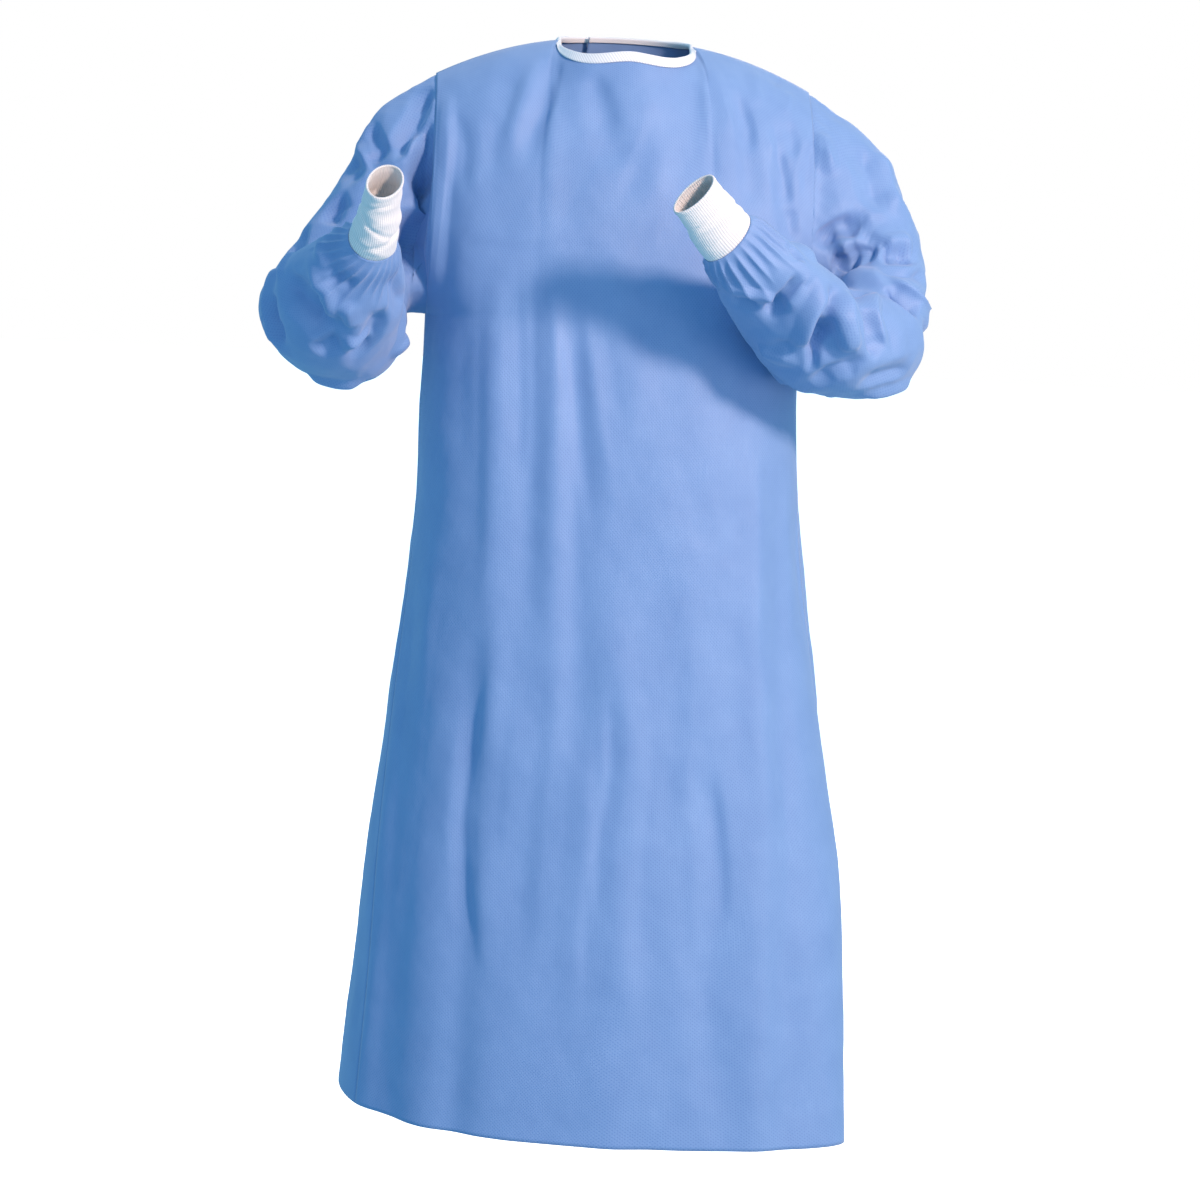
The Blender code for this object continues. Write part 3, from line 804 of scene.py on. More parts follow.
SECTIONS = SmoothTable(
    (
        # drop, right, its y, left, its y, front, back, square right, left, back, seam right, left
        (0.285, 0.203, 0.000, 0.201, 0.000, 0.128, 0.118, 2.6, 2.6, 2.4, 85, 84),
        (0.380, 0.204, 0.000, 0.202, 0.000, 0.140, 0.126, 2.6, 2.6, 2.4, 84, 80),
        (0.530, 0.207, 0.000, 0.214, -0.010, 0.150, 0.138, 2.5, 2.5, 2.4, 84, 78),
        (0.710, 0.226, 0.005, 0.241, -0.030, 0.158, 0.152, 2.4, 2.3, 2.3, 79, 88),
        (0.865, 0.243, 0.012, 0.269, -0.055, 0.164, 0.166, 2.4, 2.1, 2.2, 74, 101),
        (1.000, 0.253, 0.020, 0.278, -0.080, 0.170, 0.178, 2.4, 1.9, 2.1, 71, 109),
        (1.147, 0.266, 0.026, 0.284, -0.100, 0.176, 0.190, 2.4, 1.8, 2.1, 69, 114),
    )
)

BODY_FOLDS = folds_of(
    (
        (-0.070, 0.000, -0.112, 0.135, 0.010, -0.0075),
        (-0.120, 0.020, -0.150, 0.150, 0.014, -0.0050),
        (-0.040, 0.020, -0.008, 0.130, 0.017, -0.0070),
        (0.022, 0.030, 0.034, 0.170, 0.016, 0.0040),
        (0.120, 0.040, 0.134, 0.170, 0.013, -0.0070),
        (0.158, 0.060, 0.172, 0.190, 0.010, -0.0080),
        (-0.188, 0.090, -0.192, 0.420, 0.016, -0.0060),
        (-0.128, 0.240, -0.122, 0.800, 0.018, 0.0060),
        (-0.094, 0.200, -0.088, 0.640, 0.014, -0.0075),
        (-0.070, 0.230, -0.055, 0.640, 0.013, 0.0040),
        (-0.052, 0.210, -0.030, 0.820, 0.018, -0.0085),
        (0.010, 0.520, 0.020, 1.300, 0.026, 0.0060),
        (-0.135, 0.560, -0.150, 1.300, 0.017, -0.0080),
        (0.104, 0.700, 0.130, 1.150, 0.020, -0.0065),
        (0.150, 0.400, 0.185, 1.250, 0.020, 0.0060),
        (0.172, 0.360, 0.220, 1.250, 0.018, -0.0065),
        (-0.205, 0.500, -0.222, 1.350, 0.018, -0.0100),
    ),
    (
        (-0.120, 0.160, -0.160, 1.300, 0.030, -0.0110),
        (-0.055, 0.140, -0.085, 1.300, 0.026, 0.0090),
        (0.125, 0.160, 0.185, 1.300, 0.028, -0.0110),
        (0.165, 0.220, 0.235, 1.300, 0.024, 0.0080),
    ),
)

FRONT_CREASES = creases_of(
    # left shoulder and the pull from it to the underarm
    (((111, 32), (126, 70), (128, 93), (120, 105)), 6.0, -3.4, 0.3, 1.4),
    (((138, 8), (138, 29), (142, 56)), 5.0, 2.4, 0.2, 1.3),
    (((155, 12), (162, 20), (168, 28)), 5.0, -2.4),
    (((150, 80), (156, 112), (168, 150)), 5.0, 2.8, -0.3, 1.3),
    (((157, 88), (163, 117), (173, 162)), 6.0, -4.4, 0.3, 1.4),
    (((170, 65), (176, 87), (174, 107)), 5.0, -3.4, 0.2, 1.4),
    (((177, 31), (174, 46), (169, 63)), 4.5, 2.2, 0.3, 1.3),
    (((198, 67), (187, 116), (178, 149)), 4.5, 2.8, 0.3, 1.3),
    (((197, 83), (186, 119), (184, 138)), 4.5, -2.8, -0.2, 1.4),
    (((178, 157), (174, 178), (186, 191)), 6.0, -4.6, 0.2, 1.4),
    # from the neck
    (((-71, -2), (-80, 31), (-86, 64), (-99, 90), (-114, 116)), 7.0, -2.8, 0.3),
    (((-95, 10), (-108, 46), (-120, 84), (-132, 118)), 6.0, 1.6, -0.2, 1.4),
    (((-47, 22), (-30, 56), (-19, 97)), 9.0, -2.2, 0.2, 1.7),
    (((30, 40), (24, 86), (6, 132), (-12, 172)), 9.0, -1.8, -0.3, 1.7),
    (((60, 18), (74, 60), (84, 110), (86, 158)), 8.0, -1.8, 0.3, 1.6),
    (((84, 4), (100, 44), (108, 92)), 6.0, 1.6, 0.2, 1.4),
    # right armhole
    (((-188, 50), (-186, 110), (-190, 180), (-194, 270)), 6.0, 4.0, 0.3, 1.4, 0.15),
    (((-180, 70), (-170, 110), (-172, 160)), 6.0, -3.0, 0.2),
    (((-160, 66), (-152, 112), (-158, 168)), 6.0, 1.8, -0.2, 1.4),
    # the break across the chest and the pleats that hang from it
    (((-176, 196), (-140, 204), (-96, 203), (-50, 198), (-6, 206)), 7.0, 1.3, -0.4),
    (((-115, 210), (-108, 287), (-103, 389), (-104, 472)), 7.0, -2.0, 0.4, 1.4),
    (((-137, 226), (-135, 350), (-132, 473), (-129, 618)), 7.0, 1.6, -0.2, 1.4),
    (((-92, 214), (-86, 300), (-84, 392)), 6.0, 1.1, 0.3, 1.4),
    (((-72, 213), (-60, 295), (-47, 366), (-27, 468), (-13, 571)), 8.0, -1.9, -0.3, 1.4),
    (((-52, 216), (-38, 300), (-22, 384), (-2, 470)), 7.0, 1.2, 0.3, 1.4),
    (((-28, 230), (-16, 310), (4, 400)), 7.0, -1.1, 0.2),
    (((-165, 232), (-166, 330), (-160, 470)), 8.0, -1.6, 0.2),
    # down the skirt
    (((-131, 640), (-137, 695), (-142, 760), (-145, 814), (-139, 889), (-126, 977)),
     6.0, -4.2, 0.4, 1.25),
    (((-120, 600), (-124, 700), (-128, 800), (-122, 900), (-112, 1010)), 7.0, 2.2, -0.3, 1.4),
    (((0, 640), (4, 716), (4, 768), (-3, 824), (-2, 930)), 6.5, -2.6, -0.3, 1.4),
    (((-22, 690), (-18, 790), (-24, 900), (-22, 1030)), 8.0, 2.0, 0.3),
    (((24, 620), (32, 740), (28, 880), (34, 1040)), 9.0, 1.8, 0.2),
    (((111, 740), (119, 792), (128, 850), (132, 930)), 6.5, -2.8, 0.3, 1.4),
    (((96, 760), (100, 850), (108, 980)), 8.0, 1.8, -0.2),
    (((147, 390), (153, 526), (158, 672)), 9.0, 2.4, 0.4, 1.4),
    (((192, 436), (204, 519), (214, 640)), 8.0, -2.8, -0.2),
    (((172, 700), (188, 820), (200, 960)), 9.0, 2.0, 0.3),
    (((-62, 560), (-72, 700), (-80, 860), (-82, 1010)), 10.0, -2.2, 0.2, 1.6),
    (((-182, 520), (-196, 680), (-206, 860), (-214, 1010)), 8.0, 2.6, 0.3, 1.4),
    (((62, 560), (70, 690), (66, 840)), 11.0, -1.8, 0.2, 1.7),
)

BACK_CREASES = creases_of(
    (((-60, 20), (-84, 70), (-104, 130), (-112, 190)), 8.0, -2.8, 0.3),
    (((-110, 10), (-132, 70), (-142, 140)), 6.5, 2.0, -0.2, 1.4),
    (((-166, 60), (-158, 130), (-170, 210)), 7.0, -3.0, 0.2),
    (((58, 20), (80, 74), (96, 128), (108, 200)), 8.0, -2.6, 0.3),
    (((112, 12), (130, 80), (144, 150)), 6.5, 2.0, -0.2, 1.4),
    (((168, 62), (156, 120), (172, 196)), 7.0, -3.2, 0.2),
    (((-96, 240), (-104, 400), (-118, 560), (-124, 720)), 9.0, -3.0, 0.3, 1.4),
    (((-60, 280), (-68, 460), (-66, 640)), 8.0, 2.2, -0.3, 1.4),
    (((-148, 320), (-160, 520), (-170, 760), (-182, 980)), 9.0, 2.4, 0.2),
    (((-22, 420), (-28, 640), (-40, 900), (-42, 1060)), 9.0, -2.6, -0.3),
    (((96, 230), (112, 380), (116, 560), (130, 700)), 8.0, -2.8, 0.3, 1.4),
    (((62, 330), (74, 520), (82, 760)), 9.0, 2.2, 0.2),
    (((150, 360), (166, 560), (186, 800), (200, 1000)), 9.0, -3.0, 0.3),
    (((30, 560), (38, 760), (34, 980)), 10.0, 1.8, -0.2, 1.6),
    (((-200, 480), (-216, 700), (-226, 930)), 8.0, -2.6, 0.2),
    (((206, 460), (226, 660), (240, 880)), 8.0, 2.4, 0.2),
)

BODY_CREASES = {Face.FRONT: FRONT_CREASES, Face.BACK: BACK_CREASES}


class Outline:
    """The body's closed outline at one drop, measured along the cloth."""

    SAMPLES = 360

    def __init__(self, drop: float) -> None:
        """Works out both halves of the outline, from the front's middle to the back's."""
        row = SECTIONS.at(drop)
        _, right, right_y, left, left_y, front, back, *squares = row[:-2]
        square_right, square_left, square_back = squares
        self.seam = {Side.RIGHT: row[-2], Side.LEFT: row[-1]}
        self.points: dict[Side, Array] = {}
        self.lengths: dict[Side, Array] = {}
        angles = np.radians(np.linspace(0, 180, self.SAMPLES + 1))
        across, along = np.sin(angles), -np.cos(angles)
        for side, half, middle, square in (
            (Side.RIGHT, right, right_y, square_right),
            (Side.LEFT, left, left_y, square_left),
        ):
            half_y = np.where(along < 0, front + middle, back - middle)
            power = np.where(along < 0, square, square_back)
            reach = ((across / half) ** power + (np.abs(along) / half_y) ** power) ** (-1 / power)
            level = np.full_like(reach, -drop)
            line = np.stack((side.value * across * reach, middle + along * reach, level), -1)
            self.points[side], self.lengths[side] = line, polyline_lengths(line)

    def seam_reach(self, side: Side) -> float:
        """From the front's middle along the cloth to the side seam."""
        lengths, place = self.lengths[side], self.seam[side] / 180 * self.SAMPLES
        return float(np.interp(place, np.arange(len(lengths)), lengths))

    def at(self, side: Side, reach: Array) -> Array:
        """Points at some distances from the front's middle."""
        return line_at(self.points[side], self.lengths[side], reach)


@dataclass
class BodyForm:
    """The gown's body as worn; the panels, the binding, the tab and the armholes all read it."""

    neck_half_width: float = 0.071
    neck_front: float = 0.066
    neck_back: float = 0.060
    neck_side_rise: float = 0.0105
    throat_drop: float = 0.019
    nape_rise: float = 0.0085
    neck_wave: float = 0.004
    neck_square: float = 2.5
    neck_share: float = 6 / 17  # of a panel's half width
    corner_turn: float = 20  # degrees that the cloth turns out at the neck's side points
    shoulder_half_width: float = 0.200
    shoulder_drop: float = 0.031
    shoulder_bow: float = 0.6
    shoulder_seam_gap: float = 0.0003
    tip_seam_gap: float = 0.0004
    side_seam_gap: float = 0.0002
    underarm_drop: float = 0.285
    armhole_reach: float = 0.098
    armhole_low_rise: float = 0.030
    armhole_high_share: float = 0.86  # of its reach
    armhole_high_drop: float = 0.038
    armhole_pull: float = 3.0
    yoke_rise: float = 0.42  # of the yoke's height, straight up from the underarm's level
    corner_reach: float = 0.25  # of a panel's half width, beside the neck
    steep_share: float = 0.85  # of the neck's half width, over which the cloth grows steeper
    top_slope: tuple[float, float] = (0.15, 2.4)  # at the shoulder's edge and at the neck's
    top_lead: tuple[float, float] = (0.075, 0.060)  # metres over which that slope leads
    hem_drop: float = 1.147
    hem_skew: float = 0.042
    hem_skew_from: float = 0.55
    lap_share_neck: float = 0.12
    lap_share_hem: float = 0.27
    lap_step: float = 0.0072
    lap_blend: float = 0.20
    lap_edge: float = 0.02  # of a panel's half width, which stays fully inside
    calm_side: float = 0.12  # of a panel's half width, where the folds run out at a seam
    calm_top: float = 0.20  # of the yoke's height
    fold_share: float = 0.65  # thin cloth falls flatter between its folds than the solid's wall
    outlines: dict[float, Outline] = field(default_factory=dict)

    PLAN = (0.55, 1.0, 0.0)  # flattens the body's plan, so that its folds face front and back

    def outline(self, drop: float) -> Outline:
        """The outline at a drop, worked out once."""
        key = round(float(drop), 7)
        if key not in self.outlines:
            self.outlines[key] = Outline(key)
        return self.outlines[key]

    def skirt(self, face: Face, share: Array, drop: float) -> Array:
        """Points at or below the underarm.

        Args:
            face: front or back.
            share: -1 at the right seam and 1 at the left one.
            drop: below the origin.

        Returns:
            One point for each share.
        """
        ring = self.outline(drop)
        found = np.empty(share.shape + (3,))
        for side in Side:
            pick = side.holds(share)
            seam, size = ring.seam_reach(side), np.abs(share[pick])
            if face is Face.FRONT:
                reach = size * (seam - self.side_seam_gap / 2)
            else:
                reach = mix(ring.lengths[side][-1], seam + self.side_seam_gap / 2, size)
            found[pick] = ring.at(side, reach)
        return found

    def top_edge(self, face: Face, share: Array) -> Array:
        """Shoulder, neckline and shoulder of a panel, from its right tip to its left one."""
        side, size = np.where(share > 0, 1.0, -1.0), np.abs(share)
        t = np.clip((size - self.neck_share) / (1 - self.neck_share), 0, 1)
        gap = mix(self.shoulder_seam_gap, self.tip_seam_gap, t)
        shoulder = np.stack(
            (
                side * mix(self.neck_half_width, self.shoulder_half_width, t),
                face.value * gap / 2,
                mix(self.neck_side_rise, -self.shoulder_drop, t - self.shoulder_bow * t * (1 - t)),
            ),
            -1,
        )
        q = np.clip(size / self.neck_share, 0, 1)
        across, along = np.sin(q * math.pi / 2), np.clip(np.cos(q * math.pi / 2), 0, 1)
        reach = (across**self.neck_square + along**self.neck_square) ** (-1 / self.neck_square)
        if face is Face.FRONT:
            depth = self.neck_front
            lift = self.neck_wave * np.cos(2 * math.pi * q) * (1 - q)
            lift -= self.throat_drop * np.sqrt(along)
        else:
            depth, lift = self.neck_back, self.nape_rise * along
        neck = np.stack(
            (
                side * self.neck_half_width * across * reach,
                face.value * (depth * along * reach + self.shoulder_seam_gap / 2),
                self.neck_side_rise + lift,
            ),
            -1,
        )
        return np.where((size >= self.neck_share)[..., None], shoulder, neck)

    def armhole_edge(self, face: Face, side: Side, t: Array) -> Array:
        """A panel's half of an armhole, from the underarm at 0 to the shoulder tip at 1."""
        at = np.array([float(side.value)])
        low, high = self.skirt(face, at, self.underarm_drop)[0], self.top_edge(face, at)[0]
        swing = np.array((0.0, face.value * self.armhole_reach, 0.0))
        low_way = swing + (0, 0, self.armhole_low_rise)
        high_way = swing * self.armhole_high_share - (0, 0, self.armhole_high_drop)
        return bezier(low, low + low_way, high + high_way, high, t)

    def yoke_column(self, face: Face, share: Array, t: Array) -> Array:
        """Columns of a panel's top, as if it had no armhole."""
        low = self.skirt(face, share, self.underarm_drop)
        high = self.top_edge(face, share)
        side, size, neck = np.where(share > 0, 1.0, -1.0), np.abs(share), self.neck_share
        steep = smooth((neck - size) / (self.steep_share * neck))
        beside_neck = 1 - np.abs(size - neck) / np.where(size < neck, neck, self.corner_reach)
        turn = math.radians(self.corner_turn) * smooth(beside_neck)
        slope = mix(*self.top_slope, steep)
        lean = unit(np.stack((-side * np.sin(turn), -face.value * np.cos(turn), slope), -1))
        rise = (high - low) * (0.0, 0.0, self.yoke_rise)
        lead = mix(*self.top_lead, steep)[..., None]
        return bezier(low, low + rise, high - lean * lead, high, t)

    def yoke(self, face: Face, share: Array, t: Array) -> Array:
        """Points above the underarm; t is 0 at the underarm's level and 1 at the top edge."""
        plain = self.yoke_column(face, share, t)
        pull = np.zeros_like(plain)
        for side in Side:
            pick = side.holds(share)
            level = t[pick]
            at = np.full(level.shape, float(side.value))
            pull[pick] = self.armhole_edge(face, side, level) - self.yoke_column(face, at, level)
        return plain + pull * (np.abs(share) ** self.armhole_pull)[..., None]

    @staticmethod
    def outward(points: Array) -> Array:
        """Level way out from the body's middle."""
        return unit(points * BodyForm.PLAN)

    def surface(self, face: Face, share: Array, t: Array, drop: Array) -> Array:
        """The body's folded surface on a grid.

        Args:
            face: front or back.
            share: rows by columns.
            t: above 0 only in rows over the underarm.
            drop: of each row; the underarm's over the underarm.

        Returns:
            Rows by columns by 3.
        """
        points = np.empty(share.shape + (3,))
        for row, (level, low) in enumerate(zip(t, drop)):
            if level <= 0:
                points[row] = self.skirt(face, share[row], low)
            else:
                points[row] = self.yoke(face, share[row], np.full(share.shape[1], level))
        calm = smooth((1 - np.abs(share)) / self.calm_side)
        calm *= smooth((1 - t) / self.calm_top)[:, None]
        folds = fold_offset(BODY_FOLDS, face, points) * self.fold_share
        points += self.outward(points) * (folds * calm)[..., None]
        fall = smooth((drop - self.hem_skew_from) / (self.hem_drop - self.hem_skew_from))
        points[..., 2] -= self.hem_skew * points[..., 0] * fall[:, None]
        return points

    def lap_share(self, t: Array, drop: Array) -> Array:
        """Each free back edge past the back's middle."""
        fall = (drop - self.underarm_drop * t) / self.hem_drop
        return mix(self.lap_share_neck, self.lap_share_hem, fall)

    def under_step(self, share: Array, lap: Array) -> Array:
        """How far the lower back panel lies inside the upper one."""
        return self.lap_step * (1 - smooth((share - lap - self.lap_edge) / self.lap_blend))

    def back_surface(self, side: Side, share: Array, t: Array, drop: Array) -> Array:
        """A back panel's surface; share is 1 at its side seam and 0 at the back's middle."""
        points = self.surface(Face.BACK, side.value * share, t, drop)
        if side is Side.LEFT:
            step = self.under_step(share, self.lap_share(t, drop)[:, None])
            points -= self.outward(points) * step[..., None]
        return points


@dataclass
class Panels:
    """The front panel and the two lapped back panels."""

    body: BodyForm
    wall: float = 0.5 * MM
    skirt_rows: int = 196
    yoke_rows: int = 72
    front_half_columns: int = 85
    back_columns: tuple[int, int] = (56, 49)  # side seam to the neck's corner, on to the free edge
    calm_side: float = 0.04  # of a panel's half width, where the creases run out at a seam
    calm_top: float = 0.10  # of the yoke's height
    ripple: Ripples = Ripples(0.070, 0.0007, 11)
    pucker: Ripples = Ripples(0.016, 0.00012, 12)
    crumple: Crumple = Crumple(0.075, 0.0016, 13, stretch=(1.0, 1.0, 0.4))

    def levels(self) -> tuple[Array, Array]:
        """Rows of a panel's grid from the hem up: how far above the underarm, and the drop."""
        body = self.body
        skirt = np.linspace(body.hem_drop, body.underarm_drop, self.skirt_rows + 1)
        rise = np.linspace(0, 1, self.yoke_rows + 1)[1:]
        t = np.concatenate((np.zeros_like(skirt), rise))
        return t, np.concatenate((skirt, np.full_like(rise, body.underarm_drop)))

    def dress(self, points: Array, face: Face, share: Array, t: Array) -> Array:
        """Lays the fine creases and the handled look on a panel."""
        outs = grid_normals(points, tube=False)
        calm = smooth((1 - np.abs(share)) / self.calm_side)
        calm *= smooth((1 - t) / self.calm_top)[:, None]
        level = points * (1.0, 0.0, 1.0)
        ahead = np.broadcast_to((0.0, float(face.value), 0.0), points.shape)
        lift = self.ripple.offset(points) + self.pucker.offset(points) + self.crumple.offset(points)
        for crease in BODY_CREASES[face]:
            places = crease.places() * MM
            line = np.stack((places[:, 0], np.zeros(len(places)), -places[:, 1]), -1)
            lift += crease.offset(line, level, ahead)
        return points + outs * (lift * calm)[..., None]

    def front_points(self) -> Array:
        """The front panel's grid."""
        t, drop = self.levels()
        columns = np.linspace(-1, 1, 2 * self.front_half_columns + 1)
        share = np.broadcast_to(columns, (len(t), len(columns)))
        return self.dress(self.body.surface(Face.FRONT, share, t, drop), Face.FRONT, share, t)

    def back_points(self, side: Side) -> Array:
        """A back panel's grid, from its side seam to its free edge."""
        body, (t, drop) = self.body, self.levels()
        lap = body.lap_share(t, drop)[:, None]
        outer = np.linspace(1, body.neck_share, self.back_columns[0] + 1)[None, :]
        inner = np.linspace(0, 1, self.back_columns[1] + 1)[None, 1:]
        share = np.concatenate((np.repeat(outer, len(t), 0), mix(body.neck_share, -lap, inner)), 1)
        points = body.back_surface(side, share, t, drop)
        return self.dress(points, Face.BACK, side.value * share, t)

    def build(self, finishes: Finishes) -> None:
        """Makes the three panels."""
        cut = Cut(0.70, 1.20, 0.64, "hung")
        front = ClothPiece("front_panel_cloth", ("front_panel",), "nonwoven", self.wall, cut)
        front.build(self.front_points(), finishes.nonwoven)
        cut = Cut(0.50, 1.20, 0.44, "hung")
        for side in Side:
            points, word = self.back_points(side), f"back_panel_{side.name.lower()}"
            if side is Side.RIGHT:
                points = points[:, ::-1]
            back = ClothPiece(f"{word}_cloth", (word,), "nonwoven", self.wall, cut)
            back.build(points, finishes.nonwoven)


# The sleeves


@dataclass(frozen=True)
class SleeveForm:
    """One sleeve with its cuff: its rings from the armhole to the oval of the cuff's base.

    Each ring has its share of the length, its centre, and two half axes, the first one towards the
    shoulder's tip and the second one towards the front at the armhole.
    """

    side: Side
    rings: SmoothTable
    folds: tuple[Fold, ...]
    creases: tuple[Crease, ...]
    cuff_aim: tuple[float, float, float]
    open_cap: float
    open_side: float
    cuff_wrinkles: tuple[tuple[float, ...], ...]  # share of its length, width, mm out, turn, slant


RIGHT_SLEEVE = SleeveForm(
    Side.RIGHT,
    SmoothTable(
        (
            (0.00, -0.2015, 0.000, -0.1580, 0.000, 0.000, 0.127, 0.000, -0.080, 0.000),
            (0.12, -0.2430, -0.006, -0.1800, -0.015, -0.004, 0.107, 0.022, -0.075, 0.000),
            (0.26, -0.2620, -0.020, -0.2190, -0.020, -0.010, 0.089, 0.036, -0.055, 0.008),
            (0.48, -0.3010, -0.046, -0.2930, -0.033, -0.023, 0.060, 0.065, -0.030, 0.012),
            (0.58, -0.3010, -0.092, -0.2980, -0.034, -0.004, 0.060, 0.064, -0.002, 0.017),
            (0.70, -0.2970, -0.135, -0.2830, -0.036, 0.013, 0.054, 0.057, 0.020, 0.026),
            (0.86, -0.2810, -0.197, -0.2520, -0.029, 0.010, 0.043, 0.045, 0.018, 0.023),
            (1.00, -0.2616, -0.252, -0.2135, -0.0215, 0.000, 0.0095, 0.0078, 0.0173, 0.0177),
        )
    ),
    folds_of(
        (
            (-0.270, 0.080, -0.256, 0.140, 0.010, -0.0070),
            (-0.352, 0.238, -0.280, 0.325, 0.011, -0.0110),
            (-0.332, 0.215, -0.286, 0.300, 0.009, 0.0050),
            (-0.364, 0.255, -0.356, 0.330, 0.010, -0.0060),
            (-0.306, 0.244, -0.255, 0.248, 0.009, -0.0060),
            (-0.280, 0.345, -0.240, 0.285, 0.011, -0.0060),
        ),
        (
            (-0.360, 0.230, -0.260, 0.200, 0.016, -0.0080),
            (-0.365, 0.290, -0.250, 0.300, 0.016, -0.0080),
        ),
    ),
    creases_of(
        # the hollow between the arm and the body, and the fold that hangs under the elbow
        (((50, 0.06), (75, 0.065), (100, 0.075), (125, 0.085), (150, 0.09)),
         14.0, -36.0, 0.0, 2.2, 0.3, True),
        (((84, 0.12), (102, 0.20), (108, 0.30)), 12.0, -18.0, 0.0, 2.0, 0.3, True),
        (((98, 0.55), (114, 0.60), (122, 0.66)), 15.0, 9.0, 0.0, 1.6, 0.4),
        # upper arm, towards the front
        (((358, 0.17), (384, 0.19), (393, 0.21)), 8.0, -7.5, 0.3, 1.4),
        (((350, 0.19), (365, 0.20), (380, 0.23)), 7.0, 4.5, -0.3, 1.3),
        (((336, 0.24), (360, 0.26), (384, 0.29)), 9.0, -8.0, 0.4, 1.4),
        (((338, 0.20), (352, 0.21), (372, 0.26), (392, 0.30)), 6.0, 4.0, 0.2, 1.3),
        (((376, 0.33), (362, 0.37), (382, 0.38)), 9.0, -8.5, -0.3, 1.4),
        (((337, 0.38), (346, 0.43), (352, 0.48)), 7.5, -6.5, 0.2, 1.4),
        (((370, 0.02), (392, 0.045), (403, 0.09), (411, 0.15)), 7.5, -12.0, 0.3, 1.4, 0.2, True),
        (((405, 0.04), (414, 0.08), (419, 0.16)), 6.0, 5.0, 0.0, 1.3),
        (((400, 0.025), (420, 0.035), (436, 0.05), (444, 0.16)), 7.5, -15.0, 0.2, 1.5, 0.2, True),
        (((400, 0.16), (425, 0.24), (440, 0.34)), 10.0, -7.5, -0.3),
        (((410, 0.11), (432, 0.20), (447, 0.29)), 7.5, 5.5, 0.2, 1.3),
        (((400, 0.30), (424, 0.36), (452, 0.42)), 8.0, 6.5, 0.3, 1.3),
        (((395, 0.40), (425, 0.43), (465, 0.44)), 10.0, -9.5, -0.3, 1.4),
        # forearm, seen side
        (((286, 0.94), (259, 0.95), (232, 0.95)), 5.0, -4.5, 0.2),
        (((335, 0.92), (315, 0.93), (294, 0.95)), 5.0, 4.0, 0.0, 1.3),
        (((298, 0.90), (275, 0.91), (253, 0.91), (214, 0.81)), 5.5, 5.0, 0.3, 1.3),
        (((320, 0.81), (300, 0.82), (283, 0.84), (248, 0.85), (215, 0.82)), 10.0, -10.5, 0.3, 1.4),
        (((235, 0.92), (222, 0.89), (208, 0.85)), 6.0, 4.5, -0.2, 1.3),
        (((213, 0.81), (192, 0.81), (178, 0.82)), 6.0, 5.5, 0.3, 1.2),
        (((199, 0.73), (185, 0.78), (178, 0.82), (175, 0.90)), 8.0, -8.0, -0.3, 1.4),
        (((305, 0.74), (292, 0.72), (279, 0.70), (262, 0.72)), 9.0, -9.0, 0.3, 1.4),
        (((330, 0.70), (300, 0.67), (280, 0.66), (258, 0.68)), 7.0, 5.5, -0.3, 1.3),
        (((235, 0.75), (223, 0.79), (213, 0.81)), 7.5, -7.0, 0.2, 1.4),
        (((305, 0.61), (276, 0.64), (251, 0.69)), 7.5, 6.5, 0.4, 1.2),
        (((318, 0.58), (286, 0.60), (250, 0.63)), 8.0, -6.5, -0.3, 1.4),
        (((345, 0.62), (330, 0.66), (325, 0.74)), 7.0, 5.0, 0.2, 1.3),
        (((350, 0.76), (330, 0.77), (305, 0.78)), 6.0, 4.0, 0.3, 1.3),
        (((172, 0.97), (150, 0.90), (128, 0.82)), 7.5, -6.5, 0.3, 1.4),
        # elbow and the sides that the front view hides
        (((240, 0.50), (215, 0.53), (185, 0.54), (150, 0.52)), 10.5, -10.5, 0.3, 1.4),
        (((250, 0.44), (222, 0.47), (190, 0.48), (160, 0.46)), 8.0, 6.5, -0.2, 1.3),
        (((230, 0.58), (205, 0.60), (175, 0.61)), 8.0, 6.0, 0.2, 1.3),
        (((120, 0.46), (100, 0.50), (112, 0.60), (104, 0.66)), 10.0, -8.5, 0.2, 1.4),
        (((150, 0.62), (128, 0.68), (110, 0.76)), 7.5, 5.0, 0.3, 1.3),
        (((300, 0.15), (270, 0.22), (240, 0.25)), 10.0, -7.5, 0.3),
        (((310, 0.27), (280, 0.31), (245, 0.33)), 8.0, 5.5, -0.3, 1.3),
        (((320, 0.36), (288, 0.39), (255, 0.40)), 10.5, -8.5, 0.3, 1.4),
        (((200, 0.14), (190, 0.24), (205, 0.34)), 10.0, -6.5, -0.2),
        (((160, 0.16), (150, 0.26), (168, 0.37)), 9.0, 5.5, 0.3, 1.4),
        (((100, 0.80), (70, 0.84), (40, 0.83)), 7.5, -6.5, 0.2, 1.4),
        (((90, 0.70), (62, 0.73), (30, 0.72)), 7.5, 5.5, 0.3, 1.3),
    ),
    (0.147, -0.612, 0.776),
    0.0165,
    0.0290,
    (
        (0.24, 0.055, 1.2, 255, 0.12),
        (0.34, 0.035, -1.7, 215, -0.10),
        (0.44, 0.060, 1.1, 300, -0.16),
        (0.53, 0.032, -1.8, 270, 0.15),
        (0.60, 0.060, 0.9, 225, 0.10),
        (0.71, 0.030, -1.5, 320, -0.14),
        (0.82, 0.050, 0.7, 250, 0.06),
        (0.35, 0.060, 1.0, 80, 0.12),
        (0.50, 0.035, -1.4, 60, -0.14),
        (0.74, 0.060, 0.8, 110, 0.10),
    ),
)

